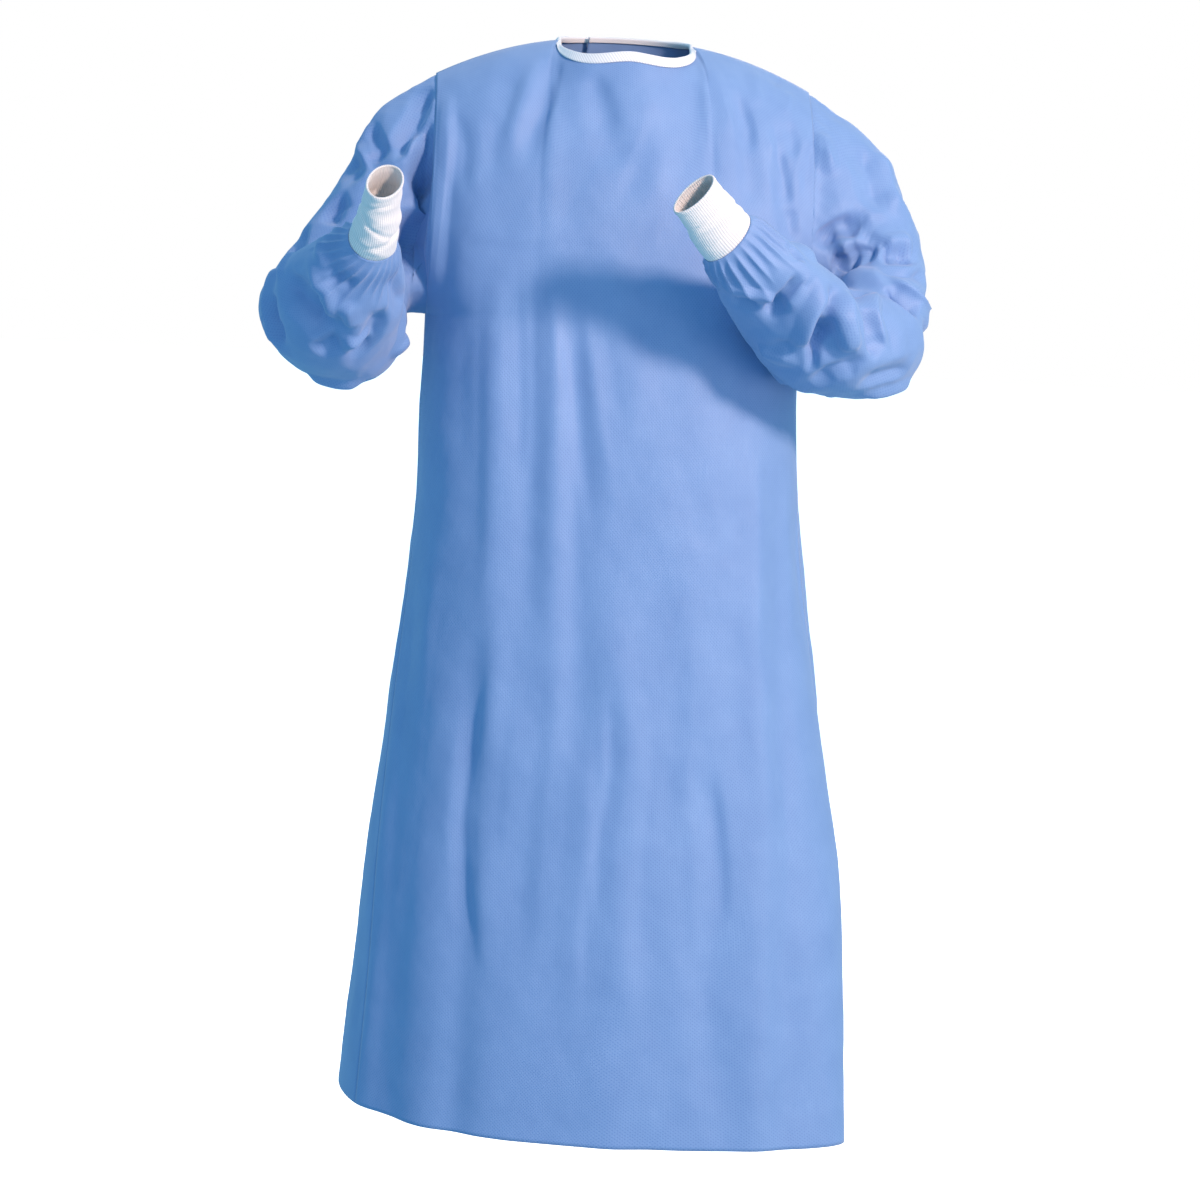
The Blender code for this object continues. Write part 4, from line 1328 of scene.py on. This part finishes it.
LEFT_SLEEVE = SleeveForm(
    Side.LEFT,
    SmoothTable(
        (
            (0.00, 0.2015, 0.000, -0.1580, 0.000, 0.000, 0.127, 0.000, -0.080, 0.000),
            (0.14, 0.2500, -0.011, -0.1870, 0.026, -0.007, 0.099, -0.024, -0.072, 0.004),
            (0.30, 0.2720, -0.035, -0.2380, 0.036, -0.018, 0.075, -0.043, -0.050, 0.018),
            (0.46, 0.2620, -0.085, -0.2850, 0.042, -0.044, 0.048, -0.043, -0.016, 0.044),
            (0.56, 0.2400, -0.122, -0.2960, 0.045, -0.033, 0.038, -0.043, 0.018, 0.043),
            (0.69, 0.1960, -0.163, -0.2870, 0.046, -0.029, 0.037, -0.028, 0.042, 0.040),
            (0.86, 0.1340, -0.214, -0.2360, 0.036, -0.020, 0.028, -0.023, 0.034, 0.026),
            (1.00, 0.0880, -0.250, -0.1950, 0.0194, -0.0011, 0.0228, -0.0078, 0.0167, 0.0075),
        )
    ),
    folds_of(
        (
            (0.204, 0.070, 0.188, 0.185, 0.010, -0.0100),
            (0.180, 0.200, 0.262, 0.160, 0.010, -0.0110),
            (0.205, 0.208, 0.330, 0.196, 0.010, -0.0120),
            (0.262, 0.215, 0.345, 0.270, 0.010, -0.0070),
            (0.218, 0.218, 0.274, 0.312, 0.010, -0.0090),
            (0.203, 0.232, 0.190, 0.312, 0.010, -0.0090),
            (0.178, 0.225, 0.130, 0.280, 0.010, -0.0080),
            (0.128, 0.300, 0.245, 0.306, 0.009, -0.0060),
        ),
        (
            (0.240, 0.180, 0.330, 0.220, 0.016, -0.0080),
            (0.240, 0.270, 0.320, 0.290, 0.016, -0.0080),
        ),
    ),
    creases_of(
        # upper arm, towards the front
        (((33, 0.02), (46, 0.04), (61, 0.06)), 7.5, 5.5, 0.2, 1.3),
        (((109, 0.03), (90, 0.11), (60, 0.23)), 8.0, -10.5, 0.3, 1.4),
        (((97, 0.10), (81, 0.21), (58, 0.32)), 7.5, 6.5, -0.3, 1.2),
        (((106, 0.08), (81, 0.23), (48, 0.36)), 8.0, 6.5, 0.3, 1.2),
        (((40, 0.36), (0, 0.35)), 8.0, 6.5, 0.3, 1.2),
        (((83, 0.25), (46, 0.38)), 8.0, -10.5, -0.3, 1.3),
        (((44, 0.385), (0, 0.37)), 8.0, -10.5, -0.3, 1.3),
        (((109, 0.13), (83, 0.30), (65, 0.35)), 7.0, -12.5, 0.2, 1.3),
        (((20, 0.10), (34, 0.18), (38, 0.27)), 10.0, -7.0, 0.3),
        (((5, 0.13), (14, 0.21), (20, 0.30)), 8.0, 5.0, -0.3, 1.3),
        (((340, 0.16), (350, 0.24), (2, 0.30)), 9.0, -6.0, 0.3, 1.4),
        # the elbow's overlapping folds
        (((36, 0.455), (11, 0.465), (-19, 0.45), (-44, 0.41)), 7.5, 9.0, 0.5, 1.2),
        (((31, 0.51), (17, 0.525), (-2, 0.52), (-16, 0.51)), 7.5, -10.5, -0.4, 1.4),
        (((52, 0.42), (30, 0.43), (4, 0.42), (-25, 0.38)), 7.0, -7.5, 0.3, 1.4),
        (((-20, 0.50), (-44, 0.47), (-66, 0.43)), 8.0, -7.0, 0.3, 1.4),
        # forearm, seen side
        (((-12, 0.78), (-22, 0.77), (-49, 0.76), (-71, 0.70)), 6.5, 7.0, 0.3, 1.2),
        (((43, 0.58), (21, 0.65), (10, 0.66)), 7.5, -7.5, 0.2, 1.4),
        (((33, 0.58), (-6, 0.67), (-42, 0.65), (-59, 0.63)), 7.0, 7.0, 0.4, 1.2),
        (((-12, 0.71), (-43, 0.70), (-59, 0.66)), 7.5, -9.0, -0.3, 1.4),
        (((-27, 0.81), (-63, 0.83), (-90, 0.81), (-124, 0.73)), 6.0, 8.0, 0.4, 1.15),
        (((-59, 0.80), (-84, 0.785), (-107, 0.76), (-117, 0.73)), 7.0, -9.0, 0.2, 1.4),
        (((-40, 0.80), (-59, 0.77), (-72, 0.72)), 6.0, 5.0, -0.2, 1.3),
        (((-28, 0.87), (-66, 0.87), (-102, 0.86)), 5.5, 6.0, 0.3, 1.2),
        (((-43, 0.895), (-71, 0.885), (-101, 0.875), (-128, 0.86)), 5.5, -6.5, -0.2, 1.4),
        (((-3, 0.91), (-12, 0.90), (-32, 0.89)), 5.5, -5.0, 0.2, 1.4),
        (((-127, 0.96), (-133, 0.94), (-106, 0.90), (-101, 0.87)), 5.0, 4.5, 0.2, 1.3),
        (((-156, 0.91), (-135, 0.90), (-117, 0.90)), 5.5, -5.0, 0.2, 1.4),
        (((-159, 0.79), (-142, 0.78), (-117, 0.77)), 6.5, 5.5, 0.3, 1.3),
        (((-125, 0.70), (-100, 0.72), (-77, 0.70), (-71, 0.68)), 7.0, -6.5, 0.3, 1.4),
        (((-95, 0.66), (-75, 0.61), (-62, 0.56)), 8.0, -7.0, -0.3, 1.4),
        (((-110, 0.62), (-90, 0.56), (-78, 0.50)), 8.0, 6.0, 0.3, 1.3),
        (((60, 0.66), (48, 0.74), (30, 0.80)), 7.0, -6.5, 0.2, 1.4),
        (((75, 0.60), (64, 0.70), (50, 0.79)), 7.0, 5.5, 0.3, 1.3),
        (((40, 0.86), (20, 0.845), (-2, 0.83)), 5.5, 5.0, 0.3, 1.3),
        # the sides that the front view hides
        (((-150, 0.52), (-172, 0.55), (-200, 0.56), (-228, 0.54)), 10.0, -9.0, 0.3, 1.4),
        (((-145, 0.46), (-170, 0.49), (-205, 0.49)), 8.0, 6.5, -0.2, 1.3),
        (((-165, 0.62), (-190, 0.64), (-215, 0.65)), 7.5, 6.0, 0.2, 1.3),
        (((-60, 0.15), (-90, 0.22), (-120, 0.25)), 10.0, -7.5, 0.3),
        (((-50, 0.27), (-80, 0.31), (-115, 0.33)), 8.0, 5.5, -0.3, 1.3),
        (((-40, 0.34), (-72, 0.39), (-105, 0.40)), 10.5, -8.5, 0.3, 1.4),
        (((-160, 0.14), (-170, 0.24), (-155, 0.34)), 10.0, -6.5, -0.2),
        (((-200, 0.16), (-210, 0.26), (-192, 0.37)), 9.0, 5.5, 0.3, 1.4),
        (((-240, 0.80), (-215, 0.84), (-190, 0.83)), 7.0, -6.5, 0.2, 1.4),
        (((-250, 0.70), (-222, 0.73), (-195, 0.72)), 7.5, 5.5, 0.3, 1.3),
    ),
    (-0.564, -0.615, 0.553),
    0.0255,
    0.0140,
    (
        (0.24, 0.050, 0.9, 300, 0.05),
        (0.38, 0.045, -0.9, 320, 0.06),
        (0.55, 0.050, 0.8, 280, -0.05),
        (0.70, 0.045, -0.7, 310, 0.05),
        (0.45, 0.050, 0.8, 120, 0.05),
        (0.66, 0.050, -0.8, 150, -0.05),
    ),
)


@dataclass
class Sleeve:
    """A sleeve set into its armhole and gathered into its ribbed cuff."""

    body: BodyForm
    form: SleeveForm
    wall: float = 0.5 * MM
    columns: int = 196
    rows: int = 244
    tuck: float = 2.5 * MM  # the seam allowance that lies under the panels
    tuck_depth: float = 0.6 * MM
    cap_blend: float = 0.40
    cuff_room: float = 3.8 * MM
    cuff_touch: float = 0.1 * MM
    gathers: int = 21
    gather_depth: float = 1.9 * MM
    gathers_from: float = 0.88
    crowded: float = 0.35
    ripple: Ripples = Ripples(0.045, 0.0006, 21, stretch=(1.0, 1.0, 1.0))
    pucker: Ripples = Ripples(0.013, 0.00012, 22, stretch=(1.0, 1.0, 1.0))
    crumple: Crumple = Crumple(0.052, 0.0026, 23)
    crowded_share: float = 0.48  # of a crease, where the bent arm crowds the cloth
    loose_share: float = 1.3  # of a crease, on loose cloth
    welt: float = 0.5 * MM
    cap_pucker: float = 0.45 * MM
    cuff_wall: float = 1.8 * MM
    cuff_columns: int = 288
    cuff_rows: int = 52
    cuff_rim: float = 0.6 * MM
    rim_share: float = 0.07
    overlock: float = 0.5 * MM
    cuff_length: float = 0.072
    cuff_overlap: float = 0.008
    cuff_turn: float = 1.6  # how soon it takes its own way
    ribs: int = 64
    rib_depth: float = 0.35 * MM

    # Shares of the sleeve's length
    SEAM = 0.012  # beside the armhole
    FLARE = 0.1  # in which the armhole's own shape fades
    CUFF_EASE = 0.15  # in which it comes to stand off the cuff
    CUFF_SEAM = 0.028  # drawn in to the cuff
    LOOK = 0.04  # each way, to find how a bend crowds the cloth
    CROWDED_FROM = 0.3  # of loose cloth's run, at which it is wholly crowded
    FOLD_SPAN = (0.10, 0.97, 0.08)  # rises over, ends at, falls over
    CREASE_SPAN = (0.02, 0.985, 0.06)
    FINE_SPAN = (0.06, 0.985, 0.06)
    WELT = (0.016, 0.009)  # middle and half width
    PUCKER_SPAN = (0.02, 0.075)  # falls from, falls over
    GATHER_SPAN = (0.96, 0.97, 0.03)  # deepest at, falls from, falls over
    # Shares of the cuff's length
    RIM_EDGES = (0.02, 0.015)  # in which the rim rises and rounds off
    OVERLOCK = (0.135, 0.012)  # middle and half width
    BUNCH_SPAN = (0.93, 0.1)  # ends at, falls over

    FACING = 2.5  # how soon the folds of a face fade towards its sides
    GATHER_SEED = 31

    def armhole(self, around: Array) -> Array:
        """The whole armhole, in degrees from the shoulder's tip; 90 is the front."""
        edge, side, around = self.body.armhole_edge, self.form.side, np.mod(around, 360)
        front = edge(Face.FRONT, side, 1 - np.clip(around, 0, 180) / 180)
        back = edge(Face.BACK, side, np.clip(around, 180, 360) / 180 - 1)
        return np.where((around <= 180)[..., None], front, back)

    def ring(self, share: Array | float) -> tuple[Array, Array, Array]:
        """Centre and two half axes of rings."""
        row = self.form.rings.at(share)
        return row[..., 1:4], row[..., 4:7], row[..., 7:10]

    def plain(self, around: Array, v: Array) -> tuple[Array, Array]:
        """Sleeve points before any fold.

        Args:
            around: degrees of each column.
            v: share of the length of each row.

        Returns:
            Points and the ways out of their rings, rows by columns by 3.
        """
        centre, cap, side = (part[:, None, :] for part in self.ring(v))
        start, first_cap, first_side = self.ring(0.0)
        a = np.radians(around)
        seam = self.armhole(around) - start
        tube = smooth(v / self.cap_blend)[:, None]
        along_cap = mix(seam[:, 2] / first_cap[2], np.cos(a), tube)[..., None]
        along_side = mix(seam[:, 1] / first_side[1], np.sin(a), tube)[..., None]
        out = cap * along_cap + side * along_side
        left = 1 - v
        drawn_in = self.cuff_room - self.wall - self.cuff_touch
        room = self.cuff_room * smooth(1 - left / self.CUFF_EASE)
        room -= drawn_in * smooth(1 - left / self.CUFF_SEAM)
        room = (room - self.tuck_depth * (1 - smooth(v / self.SEAM)))[:, None, None]
        tucked = seam[:, 0] - self.form.side.value * self.tuck
        flare = np.zeros(out.shape)
        flare[..., 0] = tucked * (1 - smooth(v / self.FLARE))[:, None]
        way = unit(out)
        return centre + out + way * room + flare, way

    def points(self) -> Array:
        """The sleeve's whole grid."""
        u, v = np.linspace(0, 1, self.columns + 1), np.linspace(0, 1, self.rows + 1)
        around = np.mod(self.form.side.value * u * 360, 360)
        plain, way = self.plain(around, v)
        low, high = np.maximum(0, v - self.LOOK), np.minimum(1, v + self.LOOK)
        run = np.linalg.norm(self.plain(around, high)[0] - self.plain(around, low)[0], axis=-1)
        room = run / (high - low)[:, None] / self.crowded
        loose = smooth((room - self.CROWDED_FROM) / (1 - self.CROWDED_FROM))
        facing = smooth(np.abs(way[..., 1]) * self.FACING) * self.span(v, *self.FOLD_SPAN)
        front = fold_offset(self.form.folds, Face.FRONT, plain)
        back = fold_offset(self.form.folds, Face.BACK, plain)
        folded = np.where(way[..., 1] < 0, front, back)
        points = plain + way * (folded * facing * loose)[..., None]

        outs = grid_normals(points, tube=True)
        laid, eased = np.zeros(loose.shape), mix(self.crowded_share, self.loose_share, loose)
        for crease in self.form.creases:
            share = 1.0 if crease.whole else eased
            laid += crease.offset(self.crease_line(crease), plain, way) * share
        laid *= self.span(v, *self.CREASE_SPAN)
        fine = self.ripple.offset(plain) + self.pucker.offset(plain) + self.crumple.offset(plain)
        laid += fine * loose * self.span(v, *self.FINE_SPAN)
        laid += self.gathered(around, v) + self.eased_cap(around, v)
        return points + outs * laid[..., None]

    @staticmethod
    def span(v: Array, rise: float, end: float, fall: float) -> Array:
        """1 along the sleeve, rising over a share of its length and falling over one to its end."""
        return (smooth(v / rise) * smooth((end - v) / fall))[:, None]

    def crease_line(self, crease: Crease) -> Array:
        """A crease's line on the sleeve's plain form."""
        places = crease.places()
        points, _ = self.plain(places[:, 0], places[:, 1])
        return points[np.arange(len(places)), np.arange(len(places))]

    def eased_cap(self, around: Array, v: Array) -> Array:
        """The armhole seam's welt, and the small puckers where the cap is eased into it."""
        turn, (start, length) = np.radians(around), self.PUCKER_SPAN
        waves = np.sin(turn * 23 + 1.5 * np.sin(turn * 3))
        waves += 0.6 * np.sin(turn * 37 + 2.0 * np.sin(turn * 2))
        cap = mix(0.35, 1.0, smooth(0.5 + 0.7 * np.cos(turn)))
        fade = smooth(v / self.SEAM) * (1 - smooth((v - start) / length))
        welt = self.welt * mound(v, *self.WELT)
        return welt[:, None] + self.cap_pucker * fade[:, None] * (waves * cap)

    def gathered(self, around: Array, v: Array) -> Array:
        """Small pleats that take in the sleeve's width at the cuff, each of its own length."""
        draw = np.random.default_rng(self.GATHER_SEED + self.form.side.value)
        turn, v, (deepest, end, fall) = np.radians(around), v[:, None], self.GATHER_SPAN
        drift = 0.5 * np.sin(turn * 3 + draw.uniform(0, 6)) + 0.4 * np.sin(turn * 5 + 1)
        long = 1 + 0.35 * np.sin(turn * 4 + draw.uniform(0, 6))
        start = 1 - (1 - self.gathers_from) * long
        pinch = smooth((v - start) / (deepest - start)) * (1 - 0.9 * smooth((v - end) / fall))
        pleat = 1 - 2 * np.abs(np.sin((turn * self.gathers + drift) / 2)) ** 0.8
        return pleat * pinch * self.gather_depth

    def cuff_points(self) -> tuple[Array, Array]:
        """The cuff's grid and how high each point stands on its rib."""
        form, v = self.form, np.linspace(0, 1, self.cuff_rows + 1)
        root, cap, side = self.ring(1.0)
        way = unit(np.cross(cap, side)) * form.side.value
        aim = unit(np.array(form.cuff_aim))
        run = mix(-self.cuff_overlap, self.cuff_length, v)
        turned = smooth(np.maximum(0.0, run) / self.cuff_length * self.cuff_turn)[:, None]
        centre = mix(root + way * run[:, None], root + aim * run[:, None], turned)
        narrowed = smooth(run / self.cuff_length)
        a = np.radians(form.side.value * np.linspace(0, 1, self.cuff_columns + 1) * 360)
        points = np.repeat(centre[:, None, :], len(a), axis=1)
        axes = ((cap, form.open_cap, np.cos(a)), (side, form.open_side, np.sin(a)))
        for axis, opened, share in axes:
            length = np.linalg.norm(axis)
            level = unit(mix(axis / length, unit(axis - aim * (axis @ aim)), turned))
            reach = mix(length, opened, narrowed)[:, None] * share
            points += level[:, None, :] * reach[..., None]
        outs = grid_normals(points, tube=True)
        rib = 0.5 + 0.5 * np.cos(a * self.ribs)
        lift = (rib[None, :] - 1) * self.rib_depth + self.bunched(a, v)
        risen, rounded = self.RIM_EDGES
        rim = smooth((v - 1 + self.rim_share) / risen) * (1 - 0.6 * smooth((v - 1) / rounded + 1))
        lift += (rim * self.cuff_rim + mound(v, *self.OVERLOCK) * self.overlock)[:, None]
        return points + outs * lift[..., None], np.repeat(rib[None, :], len(v), 0)

    def bunched(self, a: Array, v: Array) -> Array:
        """Rings that the pushed-up cuff wrinkles into, each running out somewhere around it."""
        total, (end, fall) = np.zeros((len(v), len(a))), self.BUNCH_SPAN
        for place, width, depth, turn, slant in self.form.cuff_wrinkles:
            away = a - math.radians(turn)
            reach = smooth(0.55 + 0.8 * np.cos(away))
            total += depth * MM * reach * mound(v[:, None], place + slant * np.sin(away), width)
        return total * smooth((end - v) / fall)[:, None]

    def build(self, finishes: Finishes) -> None:
        """Makes the sleeve and its cuff."""
        sleeve, cuff = (f"{word}_{self.form.side.name.lower()}" for word in ("sleeve", "cuff"))
        cut = Cut(0.46, 0.62, 0.17, "gathered")
        piece = ClothPiece(f"{sleeve}_cloth", (sleeve,), "nonwoven", self.wall, cut, tube=True)
        piece.build(self.points(), finishes.nonwoven)
        points, rib = self.cuff_points()
        cut = Cut(0.15, 0.08, 0.0115, "stretched")
        piece = ClothPiece(f"{cuff}_knit", (cuff,), "knit", self.cuff_wall, cut, tube=True)
        piece.build(points, finishes.knit, rib)


# The neck


@dataclass
class Neck:
    """White tape folded over the neck's edge, and the tab that closes the back."""

    body: BodyForm
    samples: int = 360
    width: float = 10.5 * MM
    inner_share: float = 0.42  # of the outer leg, since the tape is folded off its middle
    wall: float = 0.7 * MM
    cloth_wall: float = 0.5 * MM
    clearance: float = 0.6 * MM
    side_room: float = 0.9 * MM
    arc_steps: int = 8
    leg_steps: int = 5
    edge_level: float = 0.93
    tab_half_length: float = 0.11
    tab_low: float = 0.80
    tab_high: float = 0.90
    tab_wall: float = 1.2 * MM
    tab_clearance: float = 1.2 * MM
    tab_grid: tuple[int, int] = (13, 49)
    tab_sink: tuple[float, float] = (0.012, 0.045)  # where it comes down past the edge, over what
    stitch_share: float = 0.22  # of the tape's outer leg, up from its foot
    stitch_ends: int = 3  # samples left free

    EDGE_EASE, OUT_EASE = 7, 12  # samples each way, over which corners are rounded
    SIDE_SPAN = (0.62, 0.25)  # of the neck's half width, where the side room starts, and over what

    def back_line(self, side: Side, t: float, count: int) -> Array:
        """A level line of a back panel's neck, from its free edge to the shoulder seam."""
        body = self.body
        level = np.array([t])
        drop = np.array([body.underarm_drop])
        lap = float(body.lap_share(level, drop)[0])
        share = np.linspace(-lap, body.neck_share, count)[None, :]
        return body.back_surface(side, share, level, drop)[0]

    def ring_line(self, t: float) -> Array:
        """The neck's line at a level, from the left free edge round the front to the right one."""
        body, count = self.body, self.samples
        share = np.linspace(body.neck_share, -body.neck_share, count)[None, :]
        front = body.surface(Face.FRONT, share, np.array([t]), np.array([body.underarm_drop]))[0]
        left = self.back_line(Side.LEFT, t, count)
        right = self.back_line(Side.RIGHT, t, count)[::-1]
        return np.concatenate((left, front, right))

    def frames(self) -> tuple[Array, Array, Array, Array]:
        """Edge point, foot, way out and way up, along the neck."""
        high, low = self.ring_line(1.0), self.ring_line(self.edge_level)
        lengths = polyline_lengths(high)
        lengths += np.linspace(0, 1e-6, len(lengths))  # always rising, where two points are one
        even = np.linspace(0, lengths[-1], self.samples + 1)
        pair = (line_at(line, lengths, even) for line in (high, low))
        high, low = (self.eased(line, self.EDGE_EASE) for line in pair)
        down = unit(low - high)
        ahead = unit(np.gradient(high, axis=0))
        out = unit(np.cross(ahead, -down))
        middle = high.mean(axis=0)
        flip = np.sign(np.einsum("ij,ij->i", out, high - middle))
        out *= np.where(np.median(flip) < 0, -1.0, 1.0)
        out = unit(self.eased(out, self.OUT_EASE))
        up = unit(np.cross(ahead, out))
        up *= np.sign(np.einsum("ij,ij->i", up, high - low))[:, None]
        return high, high + down * self.width, out, up

    @staticmethod
    def eased(line: Array, reach: int) -> Array:
        """A line with its corners rounded; its two ends stay."""
        kernel = np.hanning(2 * reach + 1)
        kernel /= kernel.sum()
        before = 2 * line[:1] - line[reach:0:-1]
        after = 2 * line[-1:] - line[-2 : -reach - 2 : -1]
        padded = np.concatenate((before, line, after))
        return np.stack([np.convolve(padded[:, k], kernel, mode="valid") for k in range(3)], -1)

    def binding_points(self) -> Array:
        """The folded tape: from its inner foot, over the edge, to its outer foot."""
        high, low, out, up = self.frames()
        start, length = self.SIDE_SPAN
        beside = smooth((np.abs(high[:, 0]) / self.body.neck_half_width - start) / length)
        room = self.clearance + self.side_room * beside
        radius = (self.cloth_wall / 2 + room + self.wall)[:, None]
        middle = -out * (self.cloth_wall / 2)
        rows = []
        inner_low = mix(high, low, self.inner_share)
        for step in range(self.leg_steps):
            at = mix(inner_low, high, step / self.leg_steps)
            rows.append(at + middle - out * radius)
        for step in range(self.arc_steps + 1):
            turn = math.pi * step / self.arc_steps
            rows.append(high + middle + (up * math.sin(turn) - out * math.cos(turn)) * radius)
        for step in reversed(range(self.leg_steps)):
            at = mix(low, high, step / self.leg_steps)
            rows.append(at + middle + out * radius)
        return np.stack(rows)

    def tab_points(self) -> Array:
        """The tab, on the upper back panel and past its edge onto the lower one."""
        body = self.body
        rows, columns = self.tab_grid
        t = np.linspace(self.tab_low, self.tab_high, rows)
        drop = np.full_like(t, body.underarm_drop)
        lap = body.lap_share(t, drop)[:, None]
        past = np.linspace(self.tab_half_length, -self.tab_half_length, columns)[None, :]
        points = body.surface(Face.BACK, lap + past, t, drop)
        start, length = self.tab_sink
        inside = body.under_step(lap + past, lap) * smooth((past - start) / length)
        out = self.tab_clearance + self.tab_wall - inside
        return points + body.outward(points) * out[..., None]

    def build(self, finishes: Finishes) -> None:
        """Makes the binding, its stitches and the tab."""
        cut = Cut(0.49, 0.025, 0.0115, "stretched")
        binding = ClothPiece("neck_binding_tape", ("neck_binding",), "tape", self.wall, cut)
        binding.build(self.binding_points(), finishes.tape)
        high, low, out, _ = self.frames()
        reach = self.cloth_wall / 2 + self.clearance + self.wall
        line = mix(low, high, self.stitch_share) + out * (reach - self.cloth_wall / 2)
        sewn = slice(self.stitch_ends, -self.stitch_ends)
        stitches = Stitches("neck_binding_stitches", "tape")
        stitches.build([(line[sewn], out[sewn])], finishes.white_thread)
        cut = Cut(0.06, 0.028, 0.00164, "laid")
        tab = ClothPiece("neck_tab_tape", ("neck_tab",), "tape", self.tab_wall, cut)
        tab.build(self.tab_points(), finishes.fastener)


# The studio


@dataclass
class Studio:
    """Pale floor, soft light and the camera."""

    azimuth: float = -5.0
    distance: float = 3.0
    camera_height: float = -0.25
    target_height: float = -0.588
    roll: float = 2.6
    lens: float = 83.0
    floor_height: float = -1.42
    floor_radius: float = 40.0
    lamp_target: float = -0.45
    room_light: float = 0.68
    room_shown: float = 1.0
    room_tint: str = "8cd7ff"

    def camera(self) -> None:
        """Makes the camera and gives it to the scene."""
        turn = math.radians(self.azimuth)
        target = Vector((0.0, 0.0, self.target_height))
        x, y = math.sin(turn) * self.distance, -math.cos(turn) * self.distance
        spot = Vector((x, y, self.camera_height))
        aim = (target - spot).to_track_quat("-Z", "Y").to_matrix()
        aim = aim @ Matrix.Rotation(math.radians(self.roll), 3, "Z")
        data = bpy.data.cameras.new("camera")
        data.lens, data.sensor_width = self.lens, 36.0
        camera = bpy.data.objects.new("camera", data)
        camera.matrix_world = Matrix.Translation(spot) @ aim.to_4x4()
        bpy.context.scene.collection.objects.link(camera)
        bpy.context.scene.camera = camera

    def floor(self) -> None:
        """Makes the floor."""
        bm = bmesh.new()
        bmesh.ops.create_circle(bm, cap_ends=True, segments=96, radius=self.floor_radius)
        bmesh.ops.translate(bm, verts=bm.verts, vec=(0, 0, self.floor_height))
        floor = mesh_object("studio_floor", bm, FloorFinish().make())
        floor.visible_diffuse = floor.visible_glossy = False

    def lamp(
        self, name: str, spot: tuple[float, float, float], size: float, power: float, hue: str
    ) -> None:
        """A square soft light that faces the gown's chest."""
        data = bpy.data.lights.new(name, "AREA")
        data.size, data.energy, data.color = size, power, linear(hue)[:3]
        lamp = bpy.data.objects.new(name, data)
        way = Vector((0.0, 0.0, self.lamp_target)) - Vector(spot)
        aim = way.to_track_quat("-Z", "Y").to_matrix()
        lamp.matrix_world = Matrix.Translation(spot) @ aim.to_4x4()
        bpy.context.scene.collection.objects.link(lamp)

    def world(self) -> None:
        """A white room that lights the gown less than it shows."""
        made = bpy.data.worlds.new("studio")
        bpy.context.scene.world = made
        made.use_nodes = True
        tree = made.node_tree
        shown = node(tree, "LightPath", {}).outputs["Is Camera Ray"]
        strength = node(
            tree, "MapRange", {"Value": shown, "To Min": self.room_light, "To Max": self.room_shown}
        ).outputs["Result"]
        white = linear("ffffff")
        tint = node(tree, "Mix", {0: shown, 6: linear(self.room_tint), 7: white}, data_type="RGBA")
        feed(tree.nodes["Background"], {"Color": tint.outputs[2], "Strength": strength})

    def build(self) -> None:
        """Makes the whole studio."""
        self.camera()
        self.floor()
        self.lamp("key_light", (1.60, -2.35, 0.95), 0.40, 102.0, "ffdac8")
        self.lamp("low_light", (2.3, -1.9, -1.0), 1.4, 30.0, "ffeade")
        self.lamp("fill_light", (-1.6, -2.8, 0.1), 2.2, 12.0, "f6eeff")
        self.lamp("top_light", (0.3, 0.6, 2.4), 1.8, 14.0, "ffffff")
        self.lamp("back_light", (0.9, 2.9, 0.6), 1.0, 48.0, "ffe6da")
        self.world()
        bpy.context.scene.view_settings.view_transform = "Standard"


def main() -> None:
    """Builds the gown and its studio."""
    logging.basicConfig(level=logging.INFO, format="%(name)s: %(message)s")
    finishes = Finishes()
    body = BodyForm()
    Panels(body).build(finishes)
    for form in (RIGHT_SLEEVE, LEFT_SLEEVE):
        Sleeve(body, form).build(finishes)
    Neck(body).build(finishes)
    Studio().build()


if __name__ == "__main__":
    main()
